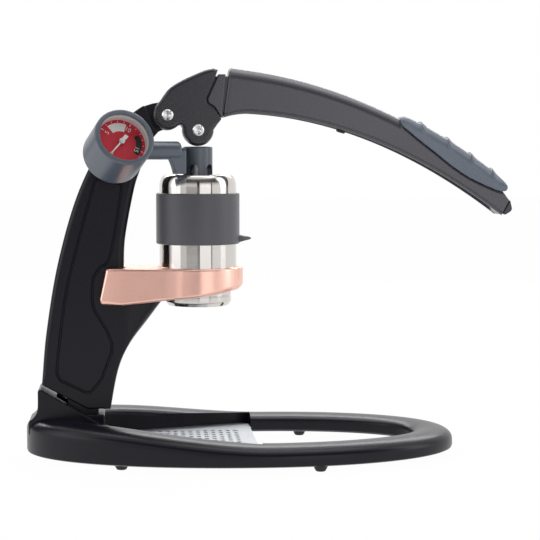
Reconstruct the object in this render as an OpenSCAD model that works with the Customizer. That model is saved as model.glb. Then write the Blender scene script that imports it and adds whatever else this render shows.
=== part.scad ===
// Manual lever espresso maker.
// A cast post stands in an open oval base and carries a long lever. A roller in the
// lever's head presses the piston stem down into a steel brew cylinder, which stands
// on a portafilter in a ring bracket. A pressure gauge turns with the stem.
// Millimetres. +X runs from the post to the lever's tip, +Z is up, and the origin is
// on the table under the middle of the machine.

/* [Base] */
// Length of the oval base
base_l = 279; // [270:1:290]
// Width of the oval base
base_w = 152; // [146:1:160]
// Distance from the origin back to the base's rear end
base_back = 158.5; // [156:0.5:162]
// Width of the base ring's section
ring_w = 26; // [24:0.5:28]
// Height of the ring's crown at the front, above its underside
ring_h = 12.7; // [11.5:0.1:14]
// Extra height of the crown at the rear
ring_rise = 10; // [7:0.5:12]
// Height of the feet below the ring
foot_h = 4; // [3:0.5:6]
// Diameter of a foot at the ring
foot_d = 9.5; // [8:0.5:11]

/* [Post] */
// Thickness of the post
post_t = 23; // [20:0.5:24]
// Distance from the brew axis back to the rear of the post's foot
post_reach = 101; // [99:0.5:104]
// Width of the socket that holds the post
socket_w = 31; // [29:0.5:34]
// Open seam between the socket and the post
socket_gap = 2; // [0.8:0.1:2.5]
// Thickness of the tongue at the top of the post
tongue_t = 13.2; // [11:0.2:13.4]

/* [Brew head] */
// Distance from the origin back to the brew axis
brew_back = 47; // [45:0.5:49]
// Height of the bracket's top above the table
bracket_z = 123; // [118:0.5:130]
// Outer diameter of the bracket ring
bracket_d = 58.4; // [57:0.2:61]
// Width across the bracket's cheeks
bracket_w = 48; // [45:0.5:50]
// Outer diameter of the brew cylinder
cyl_d = 50; // [48:0.5:51]
// Bore of the brew cylinder
bore_d = 40; // [38:0.5:42]
// Height of the brew cylinder
cyl_h = 65.7; // [63:0.1:70]
// Height of the silicone sleeve
sleeve_h = 32.8; // [28:0.2:36]
// Wall of the silicone sleeve
sleeve_t = 2; // [1.5:0.1:3]
// Diameter of the portafilter cup below its flange
cup_d = 43; // [42:0.5:44]
// Height of the portafilter cup below its flange
cup_h = 13.9; // [12:0.1:18]
// Diameter of the piston stem's cap
stem_d = 19.2; // [18:0.2:19.6]
// Height of the stem cap above the cylinder
stem_h = 18.1; // [17:0.1:20]
// Diameter of the piston rod
rod_d = 12; // [10:0.5:13]

/* [Lever] */
// Distance from the pivot to the lever's tip
lever_l = 225.1; // [215:0.1:235]
// Pivot's distance behind the roller pin
pivot_back = 19.6; // [19:0.1:20.5]
// Pivot's height above the roller pin
pivot_up = 9.6; // [9:0.1:10.5]
// Diameter of the press roller
roller_d = 20.2; // [19.8:0.1:21]
// Diameter of the two pins
pin_d = 7.2; // [6.4:0.2:8]
// Width across the head's cheeks
head_w = 26; // [25:0.2:26.4]
// Width of the slot between the cheeks
slot_w = 14; // [13.8:0.1:15]
// Width of the arm
arm_w = 23; // [20:0.5:25]
// Length of the grip pad
pad_l = 68; // [60:1:74]
// Rise of the pad above the arm's top line
pad_rise = 4.3; // [3:0.1:6]
// Depth of the pad below the arm's top line
pad_wrap = 7.6; // [6:0.1:9]

/* [Gauge] */
// Outer diameter of the gauge case
gauge_d = 38; // [36:0.5:39]
// Depth of the gauge case
gauge_depth = 29; // [27:0.5:32]
// Upward tilt of the dial
gauge_tilt = 26; // [22:1:30]
// Angle of the gauge tube to the machine's length
gauge_yaw = 20; // [19:0.5:22]
// Distance along the tube from the stem to the gauge
gauge_reach = 61.5; // [61:0.5:64]
// Distance of the tube in front of the stem
gauge_offset = 15.5; // [15.4:0.1:16.5]
// Diameter of the gauge tube
tube_d = 11.5; // [10.5:0.1:12]

/* [Drip tray] */
// Length of the drip tray
tray_l = 77; // [74:0.5:78]
// Width of the drip tray at the front
tray_w = 124; // [120:1:125]
// Width of the drip tray at the post side
tray_rear_w = 75; // [73:1:80]
// Thickness of the grate
grate_t = 1.2; // [0.8:0.1:2]
// Diameter of the grate's holes
grate_hole = 3.2; // [2.4:0.1:4]

/* [Hidden] */
$fn = 64;

// Clearances: a running fit, a seated fit, and a gap between moving castings
run_fit = 0.06;
seat_fit = 0.05;
move_gap = 0.3;
overlap = 1;

// Brew axis and the stack of pieces on it
brew_x = -brew_back;
seat_z = bracket_z - 11;
flange_h = 4;
gasket_t = 1;
cyl_z = seat_z + flange_h + gasket_t;
cyl_top = cyl_z + cyl_h;
stem_top = cyl_top + stem_h;
cup_bottom = seat_z - cup_h;

// Lever pins
roller_r = roller_d / 2;
roller_z = stem_top + move_gap + roller_r;
pivot_x = brew_x - pivot_back;
pivot_z = roller_z + pivot_up;
pin_r = pin_d / 2;
pin_proud = 0.6;
pivot_lobe_r = 9.5;
roller_lobe_r = roller_r - 0.4;
tongue_r = 9;

// Base plan
base_front_x = base_l - base_back;
base_mid_x = -8;
base_power = 2.1;
ring_z = foot_h;
ring_inner_lift = 1.5;
ring_flat = 0.68;
outer_drop = 8.5;
inner_drop = 5;
ring_stations = 72;
crown_steps = 8;

// Deck and socket at the rear of the base
deck_top = 21.5;
deck_t = 5;
tray_x0 = -87;
tray_x1 = tray_x0 + tray_l;
tray_clear = 0.8;
ledge_z = ring_z + 3;
screw_x = brew_x - 74;
screw_r = 4;
screw_l = 18;
knob_r = 13.5;
knob_h = 9;
knob_room = 1;
knob_z = deck_top - deck_t - knob_h - move_gap;
socket_top = 46;
socket_low = 28.5;
socket_wall = 3;
socket_knee_x = brew_x - 72;
socket_front_x = brew_x - 61;
deck_x = socket_front_x + 5;
socket_rear_x = brew_x - post_reach - 2.5;
slope_end = [brew_x - 64.5, deck_top + 2];
foot_z = socket_low + 3.5;
tenon_rear_x = brew_x - 92;
tenon_front_x = brew_x - 65;
tenon_t = 17;
tenon_z = deck_top + 1.5;

// Feet, two on each side
foot_spots = [[26, 65.5], [-97, 50]];
foot_plug_r = 2.5;
foot_plug_h = 3.5;

// Curve helpers

// Points on an arc about c
function arc(c, r, a0, a1, n) = [
    for (i = [0:n])
        let (a = a0 + (a1 - a0) * i / n)
        [c[0] + r * cos(a), c[1] + r * sin(a)]
];

// Smooth curve through hand-set points, k steps between neighbours
function curve_at(p, i, t) =
    let (n = len(p) - 1, a = p[max(i - 1, 0)], b = p[i], c = p[min(i + 1, n)], d = p[min(i + 2, n)])
    0.5 * (2 * b + (c - a) * t + (2 * a - 5 * b + 4 * c - d) * t * t
        + (3 * b - a - 3 * c + d) * t * t * t);
function curve(p, k) = concat(
    [for (i = [0:len(p) - 2]) for (j = [0:k - 1]) curve_at(p, i, j / k)],
    [p[len(p) - 1]]
);

// Rounded box section across the lever at x, from z0 up to z1
function box_ring(x, z0, z1, half, r0, r1, m) = [
    for (c = [[1, 1, r1, 0], [-1, 1, r1, 90], [-1, 0, r0, 180], [1, 0, r0, 270]])
        for (i = [0:m])
            let (a = c[3] + 90 * i / m, zc = c[1] > 0 ? z1 - c[2] : z0 + c[2])
            [x, c[0] * (half - c[2]) + c[2] * cos(a), zc + c[2] * sin(a)]
];

// Solid through a row of equal rings, closed by end caps or as a loop
module skin(rings, loop = false) {
    n = len(rings);
    m = len(rings[0]);
    last = loop ? n - 1 : n - 2;
    sides = [
        for (i = [0:last]) for (j = [0:m - 1])
            let (a = i * m + j, b = i * m + (j + 1) % m, k = (i + 1) % n,
                 c = k * m + (j + 1) % m, d = k * m + j)
            each [[a, d, c], [a, c, b]]
    ];
    caps = loop ? [] : [[for (j = [0:m - 1]) j], [for (j = [0:m - 1]) n * m - 1 - j]];
    polyhedron([for (r = rings) each r], concat(caps, sides), convexity = 6);
}

// A side outline in X and Z, given thickness t about the middle plane
module side(t) {
    translate([0, t / 2, 0])
        rotate([90, 0, 0])
            linear_extrude(t)
                children();
}

// A round bar across the machine
module cross_bar(x, z, r, y0, y1) {
    translate([x, y1, z])
        rotate([90, 0, 0])
            cylinder(r = r, h = y1 - y0);
}

module at_brew(z = 0) {
    translate([brew_x, 0, z])
        children();
}

// Base

function signed_pow(v, e) = sign(v) * pow(abs(v), e);
function base_half(c) = c > 0 ? base_front_x - base_mid_x : base_back + base_mid_x;
function base_edge(t) =
    let (e = 2 / base_power)
    [base_mid_x + base_half(cos(t)) * signed_pow(cos(t), e), base_w / 2 * signed_pow(sin(t), e)];
function base_normal(t) =
    let (a = base_half(cos(t)), b = base_w / 2, e = 2 * (base_power - 1) / base_power,
         n = [signed_pow(cos(t), e) / a, signed_pow(sin(t), e) / b])
    n / norm(n);
function base_inset(t, d) = base_edge(t) - d * base_normal(t);

// The crown climbs from the front half to the rear end
function ramp(u) = let (v = max(0, min(1, u))) v * v * (3 - 2 * v);
function crown_z(x) = ring_z + ring_h + ring_rise * ramp((0 - x) / 135);

function ring_section(t) =
    let (x = base_edge(t)[0], zc = crown_z(x))
    concat(
        [[ring_w, ring_z + ring_inner_lift]],
        [for (i = [0:crown_steps])
            let (a = 180 * i / crown_steps, edge = i < crown_steps / 2 ? inner_drop : outer_drop)
            [ring_w * (1 + cos(a)) / 2, zc - edge * (1 - pow(sin(a), 0.7))]],
        [[0, ring_z], [ring_w * ring_flat, ring_z]]
    );

module base_ring() {
    skin([
        for (i = [0:ring_stations - 1])
            let (t = 360 * (i + 0.5) / ring_stations)
            [for (q = ring_section(t)) let (p = base_inset(t, q[0])) [p[0], p[1], q[1]]]
    ], loop = true);
}

// Plan of everything behind x, held inside the ring's crown
module rear_plan(x, inset) {
    intersection() {
        polygon([for (i = [0:ring_stations - 1]) base_inset(360 * (i + 0.5) / ring_stations, inset)]);
        translate([-base_back, -base_w / 2])
            square([base_back + x, base_w]);
    }
}

// The deck under the socket steps down to a low shelf behind the drip tray
module deck() {
    lip = 3;
    shelf_t = 2.5;
    translate([0, 0, deck_top - deck_t])
        linear_extrude(deck_t)
            rear_plan(deck_x, ring_w / 2);
    translate([0, 0, ledge_z])
        linear_extrude(deck_top - ledge_z)
            difference() {
                rear_plan(deck_x, ring_w / 2);
                rear_plan(deck_x - lip, 0);
            }
    translate([0, 0, ledge_z])
        linear_extrude(shelf_t)
            difference() {
                rear_plan(tray_x0 - tray_clear, ring_w / 2);
                rear_plan(deck_x - lip, 0);
            }
}

// Socket: its cheeks slope from the rear down to the deck, and a low block closes its front
module socket_cheeks() {
    corner = 1.2;
    polygon([
        [socket_rear_x, deck_top - deck_t],
        [socket_rear_x, socket_top - corner],
        [socket_rear_x + corner, socket_top],
        slope_end,
        [slope_end[0], deck_top - deck_t]
    ]);
}

module socket_block() {
    translate([tenon_rear_x, deck_top - deck_t])
        square([socket_front_x - tenon_rear_x, socket_low - deck_top + deck_t]);
}

module base_casting() {
    color([0.23, 0.23, 0.25])
        difference() {
            union() {
                base_ring();
                deck();
                side(socket_w)
                    socket_cheeks();
                side(socket_w - 2 * socket_wall)
                    socket_block();
            }
            translate([0, 0, ledge_z])
                linear_extrude(4 * ring_h)
                    offset(delta = tray_clear)
                        tray_plan();
            translate([tenon_rear_x - seat_fit, -tenon_t / 2 - seat_fit, tenon_z - move_gap])
                cube([tenon_front_x - tenon_rear_x + 2 * seat_fit, tenon_t + 2 * seat_fit, socket_top]);
            translate([screw_x, 0, 0])
                cylinder(r = screw_r + move_gap, h = socket_top);
            translate([screw_x, 0, 0])
                cylinder(r = knob_r + knob_room, h = deck_top - deck_t);
            feet_at(ring_z)
                translate([0, 0, -overlap])
                    cylinder(r = foot_plug_r + seat_fit, h = foot_plug_h + move_gap + overlap);
        }
}

module feet_at(z) {
    for (p = foot_spots) for (s = [-1, 1])
        translate([p[0], s * p[1], z])
            children();
}

module rubber_feet() {
    color([0.08, 0.08, 0.08])
        feet_at(0) {
            cylinder(r1 = foot_d / 2 - 1.5, r2 = foot_d / 2, h = foot_h);
            cylinder(r = foot_plug_r, h = foot_h + foot_plug_h);
        }
}

module post_thumbscrew() {
    grooves = 10;
    groove_r = 2.2;
    color([0.12, 0.12, 0.13])
        translate([screw_x, 0, knob_z]) {
            difference() {
                cylinder(r = knob_r, h = knob_h);
                for (i = [0:grooves - 1])
                    rotate(360 * i / grooves)
                        translate([knob_r + groove_r / 2, 0, -overlap])
                            cylinder(r = groove_r, h = knob_h + 2 * overlap);
            }
            cylinder(r = screw_r, h = knob_h + screw_l);
        }
}

// Post

bracket_drop = 22;
shelf_z = bracket_z - bracket_drop;
post_front_x = brew_x - 48;
post_rear = [
    [brew_x - post_reach, socket_top + socket_gap],
    [brew_x - 98, 81],
    [brew_x - 90, bracket_z + 4],
    [pivot_x - 56.6, pivot_z - 47.7],
    [pivot_x - 37, pivot_z - 12],
    [pivot_x - 16, pivot_z + 5.7],
    [pivot_x - 6, pivot_z + 8]
];
post_neck = [
    [pivot_x - 5.3, pivot_z - 10.5],
    [pivot_x - 9.6, pivot_z - 15.2],
    [pivot_x - 13.4, pivot_z - 23.8],
    [pivot_x - 21.7, pivot_z - 47.8],
    [pivot_x - 27.4, pivot_z - 78],
    [post_front_x, bracket_z + 1]
];
post_corbel = [
    [brew_x - 23.6, shelf_z - 1.6],
    [brew_x - 33.5, shelf_z - 13],
    [brew_x - 45, shelf_z - 28],
    [brew_x - 52, 57],
    [brew_x - 57, foot_z]
];

// Lever head at rest, about the pivot
function head_points() = concat(
    arc([pivot_x, pivot_z], pivot_lobe_r, 315, 150, 14),
    [for (p = [[-4.4, 9.6], [-1.8, 13.4], [1.4, 17.2], [7.1, 21], [14.8, 24.8], [23.7, 28.6],
               [29.5, 29.9], [32.4, 28.9], [30.8, 24.9], [24.3, 10.2], [25.3, 7], [29.4, 4.5],
               [34.5, -2.5], [32, -5.7]])
        [pivot_x + p[0], pivot_z + p[1]]],
    arc([brew_x, roller_z], roller_lobe_r, 0, -175, 14)
);

// What the cheeks sweep beside the post as the lever rises to its top stop
lever_raise = 65;
module cheek_sweep() {
    stop_room = 3;
    translate([pivot_x, pivot_z]) {
        circle(r = pivot_lobe_r + 1);
        for (a = [0, lever_raise / 2, lever_raise + stop_room])
            rotate(a)
                translate([-pivot_x, -pivot_z])
                    polygon(head_points());
    }
}

module post_outline() {
    polygon(concat(
        curve(post_rear, 6),
        arc([pivot_x, pivot_z], tongue_r, 90, -100, 12),
        curve(post_neck, 6),
        [[post_front_x, shelf_z], [brew_x - 23.6, shelf_z]],
        curve(post_corbel, 5),
        [[socket_knee_x, foot_z]]
    ));
}

// The raised panel on each side of the post is bounded by a groove
panel_rear = [
    [brew_x - 94, socket_top + 4],
    [brew_x - 91.5, 81],
    [brew_x - 84, bracket_z + 4],
    [pivot_x - 46, pivot_z - 40]
];
panel_front = [
    [pivot_x - 29, pivot_z - 44],
    [pivot_x - 37, bracket_z + 6],
    [post_front_x - 14, bracket_z + 2]
];
panel_belly = [
    [brew_x - 65, bracket_z - 6],
    [brew_x - 66, bracket_z - 26],
    [brew_x - 54.5, bracket_z - 49],
    [brew_x - 53, bracket_z - 58],
    [brew_x - 59, socket_low + 16],
    [brew_x - 69, socket_low + 7]
];
function panel_points() = concat(curve(panel_rear, 5), curve(panel_front, 4), curve(panel_belly, 4));

// Inner copy of a closed outline, d in from each corner
function inset_points(p, d) = [
    for (i = [0:len(p) - 1])
        let (n = len(p), a = p[(i + n - 1) % n], b = p[(i + 1) % n], t = (b - a) / norm(b - a))
        p[i] + d * [t[1], -t[0]]
];

module post() {
    groove_w = 1.1;
    groove_d = 0.8;
    color([0.14, 0.14, 0.15])
        difference() {
            union() {
                side(post_t)
                    difference() {
                        post_outline();
                        cheek_sweep();
                    }
                side(tongue_t)
                    post_outline();
                translate([tenon_rear_x, -tenon_t / 2, tenon_z])
                    cube([tenon_front_x - tenon_rear_x, tenon_t, socket_top - tenon_z + 12]);
            }
            for (s = [-1, 1])
                translate([0, s * (post_t / 2), 0])
                    side(2 * groove_d)
                        difference() {
                            polygon(panel_points());
                            polygon(inset_points(panel_points(), groove_w));
                        }
            cross_bar(pivot_x, pivot_z, bush_r + seat_fit, -post_t, post_t);
            translate([screw_x, 0, knob_z])
                cylinder(r = screw_r + run_fit, h = knob_h + screw_l + screw_r);
            bracket_screw_holes(bolt_r + seat_fit);
        }
}

// Bracket: a yoke whose cheeks grip the post and whose ring holds the portafilter
cup_room = 0.3;
module bracket_plan() {
    at_plan = bracket_w / 2;
    translate([brew_x, 0])
        circle(d = bracket_d);
    translate([brew_x - 64, -at_plan])
        square([46, 2 * at_plan]);
}

// The underside climbs straight from the cheeks to the ring
module bracket_profile() {
    climb = 0.113;
    heel = [brew_x - 62, shelf_z - 1.6];
    bend = [brew_x - 50, shelf_z - 1.4];
    front_x = brew_x + bracket_d;
    polygon([
        heel, bend, [front_x, bend[1] + climb * (front_x - bend[0])],
        [front_x, bracket_z], [brew_x - 59, bracket_z], [brew_x - 63, shelf_z + 1]
    ]);
}

bolt_r = 2;
bolt_head_r = 3.6;
bolt_head_h = 3;
bolt_spots = [[brew_x - 53, shelf_z + 15], [brew_x - 58, shelf_z + 7]];
module bracket_screw_holes(r) {
    for (p = bolt_spots)
        cross_bar(p[0], p[1], r, 0, bracket_w / 2 + overlap);
}

module bracket() {
    color([0.87, 0.66, 0.58])
        difference() {
            intersection() {
                linear_extrude(2 * bracket_z)
                    bracket_plan();
                side(2 * bracket_w)
                    bracket_profile();
            }
            at_brew(seat_z)
                cylinder(d = cyl_d + 2 * cup_room, h = bracket_z);
            at_brew()
                cylinder(d = cup_d + 2 * cup_room, h = 2 * bracket_z);
            translate([brew_x - 80, -post_t / 2 - seat_fit, 0])
                cube([post_front_x + seat_fit - brew_x + 80, post_t + 2 * seat_fit, 2 * bracket_z]);
            side(post_t + 2 * seat_fit)
                post_outline();
            bracket_screw_holes(bolt_r + seat_fit);
            for (p = bolt_spots)
                cross_bar(p[0], p[1], bolt_head_r + seat_fit, bracket_w / 2 - bolt_head_h, bracket_w);
        }
}

// Socket screw with its head towards +Y
module socket_screw(x, z, y_head, length) {
    hex_r = 1.6;
    difference() {
        union() {
            cross_bar(x, z, bolt_head_r, y_head - bolt_head_h, y_head);
            cross_bar(x, z, bolt_r, y_head - bolt_head_h - length, y_head);
        }
        translate([x, y_head + overlap, z])
            rotate([90, 0, 0])
                cylinder(r = hex_r, h = 1.8 + overlap, $fn = 6);
    }
}

module bracket_screws() {
    color([0.5, 0.5, 0.52])
        for (p = bolt_spots)
            socket_screw(p[0], p[1], bracket_w / 2, bracket_w / 2 - bolt_head_h - 2);
}

// Lever pivot
bush_r = pin_r + 1.4;
module pivot_bush() {
    color([0.72, 0.55, 0.3])
        difference() {
            cross_bar(pivot_x, pivot_z, bush_r, -tongue_t / 2, tongue_t / 2);
            cross_bar(pivot_x, pivot_z, pin_r + run_fit, -tongue_t, tongue_t);
        }
}

washer_t = (slot_w - tongue_t) / 2 - 0.1;
module pivot_washers() {
    color([0.85, 0.85, 0.82])
        for (s = [-1, 1])
            difference() {
                cross_bar(pivot_x, pivot_z, 6, s * (tongue_t + washer_t) / 2 - washer_t / 2,
                    s * (tongue_t + washer_t) / 2 + washer_t / 2);
                cross_bar(pivot_x, pivot_z, pin_r + run_fit, -slot_w, slot_w);
            }
}

// Plain pin with a dimple in each end
module lever_pin(x, z) {
    tip = head_w / 2 + pin_proud;
    dimple_r = 1.4;
    difference() {
        cross_bar(x, z, pin_r, -tip, tip);
        for (s = [-1, 1])
            cross_bar(x, z, dimple_r, s * tip - 0.8, s * tip + 0.8);
    }
}

module pivot_pin() {
    color([0.8, 0.81, 0.83])
        lever_pin(pivot_x, pivot_z);
}

module roller_pin() {
    color([0.8, 0.81, 0.83])
        lever_pin(brew_x, roller_z);
}

// Lever head: cheeks joined by a web, open for the tongue, the roller and the arm
function about_pivot(p) = [for (q = p) [pivot_x + q[0], pivot_z + q[1]]];

module head_slot() {
    reach = 60;
    first = 56;
    last = 318;
    polygon(concat(about_pivot([[0, 0]]), arc([pivot_x, pivot_z], reach, first, last, 16)));
    translate([pivot_x, pivot_z])
        circle(r = tongue_r + 1.2);
    translate([brew_x, roller_z])
        circle(r = roller_r + 0.8);
    translate([brew_x - roller_r - 0.8, roller_z - reach])
        square([2 * roller_r + 1.6, reach]);
}

// Tongue of the arm, seen from the side
module arm_tongue() {
    polygon(about_pivot([[19, 13.5], [26, 3.6], [36, -0.5], [46, 0], [46, 27], [30, 25.5], [21, 20]]));
}

arm_bolts = about_pivot([[24, 14], [29, 20]]);
module arm_bolt_holes(r) {
    for (p = arm_bolts)
        cross_bar(p[0], p[1], r, -slot_w / 2 + 2, head_w);
}

module lever_head() {
    color([0.27, 0.27, 0.29])
        difference() {
            side(head_w)
                polygon(head_points());
            side(slot_w)
                head_slot();
            side(arm_tongue_t + 2 * seat_fit)
                arm_tongue();
            cross_bar(pivot_x, pivot_z, pin_r + seat_fit, -head_w, head_w);
            cross_bar(brew_x, roller_z, pin_r + seat_fit, -head_w, head_w);
            arm_bolt_holes(bolt_r + seat_fit);
            for (p = arm_bolts)
                cross_bar(p[0], p[1], bolt_head_r + seat_fit, head_w / 2 - bolt_head_h, head_w);
        }
}

// Lever arm: top and bottom lines are parabolas from the head to the tip
arm_tongue_t = 13;
arm_x0 = 35.6;
arm_lean = 0.14;
cap_l = 6.5;
arm_x1 = lever_l - cap_l;
pad_x0 = arm_x1 - pad_l;
arm_round = 5;
arm_edge = 2;
function arm_top(x) = let (u = x - 40) 30.4 - 0.0876 * u - 0.001848 * u * u;
function arm_low(x) =
    let (u = x - 67)
    u > -15 ? 0.2 - 0.11 * u - 0.002137 * u * u : 1.37 - 0.011 * (u + 15) * (u + 15);

function arm_ring(x, drop, lean = 0) =
    [for (p = box_ring(x, arm_low(x), arm_top(x) - drop, arm_w / 2, arm_edge, arm_round - drop * 0.4, 4))
        [pivot_x + p[0] + lean * (p[2] - arm_low(x)), p[1], pivot_z + p[2]]];

module lever_arm() {
    steps = 14;
    sunk_steps = 8;
    color([0.28, 0.28, 0.3])
        difference() {
            union() {
                skin(concat(
                    [for (i = [0:steps])
                        arm_ring(arm_x0 + (pad_x0 - arm_x0) * i / steps, 0, i == 0 ? arm_lean : 0)],
                    [for (i = [0:sunk_steps])
                        arm_ring(pad_x0 + 0.3 + (pad_l - 0.3) * i / sunk_steps, pad_wrap + seat_fit)]
                ));
                side(arm_tongue_t)
                    arm_tongue();
            }
            arm_bolt_holes(bolt_r + seat_fit);
            bumper_hole();
        }
}

module arm_screws() {
    color([0.5, 0.5, 0.52])
        for (p = arm_bolts)
            socket_screw(p[0], p[1], head_w / 2, head_w / 2 - bolt_head_h + slot_w / 2 - 3);
}

// Stud pressed into the underside of the arm, square to it
bumper_x = 113;
bumper_r = 2.2;
bumper_l = 5;
module at_bumper() {
    fall = arm_low(bumper_x - 1) - arm_low(bumper_x + 1);
    translate([pivot_x + bumper_x, 0, pivot_z + arm_low(bumper_x)])
        rotate([0, atan(fall / 2), 0])
            children();
}

module bumper_hole() {
    at_bumper()
        translate([0, 0, -overlap])
            cylinder(r = bumper_r + seat_fit, h = bumper_l + move_gap + overlap);
}

module arm_bumper() {
    head_r = 3.4;
    head_h = 1.6;
    color([0.1, 0.1, 0.1])
        at_bumper() {
            translate([0, 0, -head_h - seat_fit])
                cylinder(r1 = head_r - 0.8, r2 = head_r, h = head_h);
            translate([0, 0, -head_h / 2])
                cylinder(r = bumper_r, h = head_h / 2 + bumper_l);
        }
}

// Grip pad with rounded ribs across its top
ribs = 4;
function rib(u) = let (w = u * ribs - floor(u * ribs)) 1.1 * pow(sin(180 * w), 4);
function pad_ring(i, n) =
    let (u = i / n, x = pad_x0 + 0.6 + (pad_l - 0.6) * u, end = min(u, 1 - u) * n,
         lift = end < 0.5 ? pad_rise * 0.35 : pad_rise + rib(u))
    [for (p = box_ring(x, arm_top(x) - pad_wrap, arm_top(x) + lift, arm_w / 2 + 0.4, 1.5, 4.5, 4))
        [pivot_x + p[0], p[1], pivot_z + p[2]]];

module grip_pad() {
    steps = 24;
    color([0.43, 0.46, 0.5])
        skin([for (i = [0:steps]) pad_ring(i, steps)]);
}

module lever_end_cap() {
    x = arm_x1 + seat_fit;
    low = arm_low(arm_x1);
    color([0.25, 0.25, 0.27])
        side(arm_w - 2)
            polygon(about_pivot(concat(
                [[x, arm_top(arm_x1) - pad_wrap - 1.2], [x, low + 0.2], [x + 2, low - 0.3]],
                arc([lever_l - 3.4, low + 4.6], 3.4, -60, 40, 6),
                [[x + 3.2, low + 10]]
            )));
}

// Press roller
module press_roller() {
    color([0.75, 0.76, 0.78])
        difference() {
            cross_bar(brew_x, roller_z, roller_r, -slot_w / 2 + move_gap, slot_w / 2 - move_gap);
            cross_bar(brew_x, roller_z, pin_r + run_fit, -slot_w, slot_w);
        }
}

// Piston group
bore_r = bore_d / 2;
rod_r = rod_d / 2;
screen_top = cyl_z - 0.4;
piston_z = screen_top + 1.6;
piston_h = 14;
ring_wire = 1.6;
ring_rows = [4, 10];
rod_z0 = piston_z + 5;
rod_top = stem_top - 7;
module piston() {
    color([0.2, 0.2, 0.21])
        at_brew(piston_z)
            difference() {
                cylinder(r = bore_r - 0.4, h = piston_h);
                for (z = ring_rows)
                    translate([0, 0, z - ring_wire - 0.1])
                        difference() {
                            cylinder(r = bore_r + overlap, h = 2 * ring_wire + 0.2);
                            translate([0, 0, -overlap])
                                cylinder(r = bore_r - 2 * ring_wire - 0.15, h = 8 * ring_wire);
                        }
                translate([0, 0, rod_z0 - piston_z])
                    cylinder(r = rod_r + seat_fit, h = piston_h);
                translate([0, 0, -overlap])
                    cylinder(r = 1.5, h = piston_h);
            }
}

module piston_o_rings() {
    color([0.06, 0.06, 0.06])
        for (z = ring_rows)
            at_brew(piston_z + z)
                rotate_extrude()
                    translate([bore_r - run_fit - ring_wire, 0])
                        circle(r = ring_wire, $fn = 24);
}

module piston_rod() {
    color([0.78, 0.79, 0.8])
        at_brew(rod_z0)
            difference() {
                cylinder(r = rod_r, h = rod_top - rod_z0);
                translate([0, 0, -overlap])
                    cylinder(r = 1.5, h = rod_top - rod_z0 + 2 * overlap);
            }
}

// Stem cap with its web and the gauge tube
stem_r = stem_d / 2;
stem_sunk = 6;
windows = 4;
window_pitch = 72;
window_from = 159;
window_w = 6.2;
window_top = cyl_top + 6.5;
tube_r = tube_d / 2;
tube_z = stem_top - 2.6;
tube_start = 18.6;
socket_r = 3.5;

// Frame of the gauge: its x runs along the tube to the stem, its z out of the dial
module at_stem() {
    at_brew(tube_z)
        rotate([0, 0, gauge_yaw])
            children();
}

module at_gauge() {
    at_stem()
        translate([-gauge_reach, -gauge_offset, 0])
            rotate([90 - gauge_tilt, 0, 0])
                children();
}

module gauge_tube() {
    end_round = 2;
    at_stem()
        translate([-gauge_reach, -gauge_offset, 0])
            rotate([0, 90, 0])
                rotate_extrude()
                    polygon(concat(
                        [[0, 0], [tube_r, 0]],
                        arc([tube_r - end_round, gauge_reach - tube_start - end_round], end_round, 0, 90, 6),
                        [[0, gauge_reach - tube_start]]
                    ));
}

// A low bridge leaves the stem and a taller plate rises from it to the tube
module stem_web() {
    web_z = cyl_top + 0.6;
    bridge_h = 5;
    at_brew(web_z)
        rotate([0, 0, gauge_yaw]) {
            linear_extrude(bridge_h)
                polygon([
                    [2, -4], [-8.6, -3], [-17, 4 - gauge_offset], [-25, 4 - gauge_offset],
                    [-25, -4 - gauge_offset], [-12, -4 - gauge_offset], [4, -8]
                ]);
            translate([-25, -gauge_offset - 3.5, 0])
                difference() {
                    cube([11, 7, tube_z - web_z]);
                    translate([-4, -overlap, 2])
                        rotate([-90, 0, 0])
                            cylinder(r = 7, h = 7 + 2 * overlap);
                }
        }
}

module stem_manifold() {
    color([0.36, 0.4, 0.44])
        difference() {
            union() {
                at_brew(cyl_top - stem_sunk)
                    cylinder(r = stem_r, h = stem_top - cyl_top + stem_sunk);
                gauge_tube();
                stem_web();
            }
            at_brew(cyl_top - stem_sunk - overlap)
                cylinder(r = rod_r + run_fit, h = rod_top + move_gap - cyl_top + stem_sunk + overlap);
            at_brew(cyl_top)
                for (i = [1:windows])
                    rotate([0, 0, window_from + gauge_yaw + i * window_pitch])
                        stem_window();
            at_gauge()
                translate([0, 0, -gauge_depth])
                    cylinder(d = gauge_d + 2 * seat_fit, h = 2 * gauge_depth);
            at_stem()
                translate([-gauge_reach, -gauge_offset, 0])
                    rotate([0, 90, 0])
                        cylinder(r = socket_r + seat_fit, h = gauge_d / 2 + 12);
        }
}

// Arched opening through the skirt of the stem
module stem_window() {
    arch = window_w / 2;
    rise = window_top - cyl_top - arch;
    translate([0, -arch, -stem_sunk / 2])
        cube([stem_r + overlap, window_w, rise + stem_sunk / 2]);
    translate([0, 0, rise])
        rotate([0, 90, 0])
            cylinder(r = arch, h = stem_r + overlap);
}

// Gauge, built about the point where the tube's axis meets its own
case_back = -gauge_depth / 3;
case_front = case_back + gauge_depth;
case_r = gauge_d / 2;
case_wall = 2.3;
case_bore = case_r - case_wall;
case_floor = 2;
case_lip_t = 1.2;
lens_t = 1.5;
lens_z = case_front - case_lip_t - lens_t;
dial_t = 0.8;
dial_z = lens_z - 6;
arbor_r = 1;
needle_z = dial_z + dial_t + 1.2;
needle_t = 0.8;
needle_rest = 225;
case_edge = 2.4;
coil_r = 11;
coil_wire = 1.8;
coil_z = 5.5;

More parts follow.
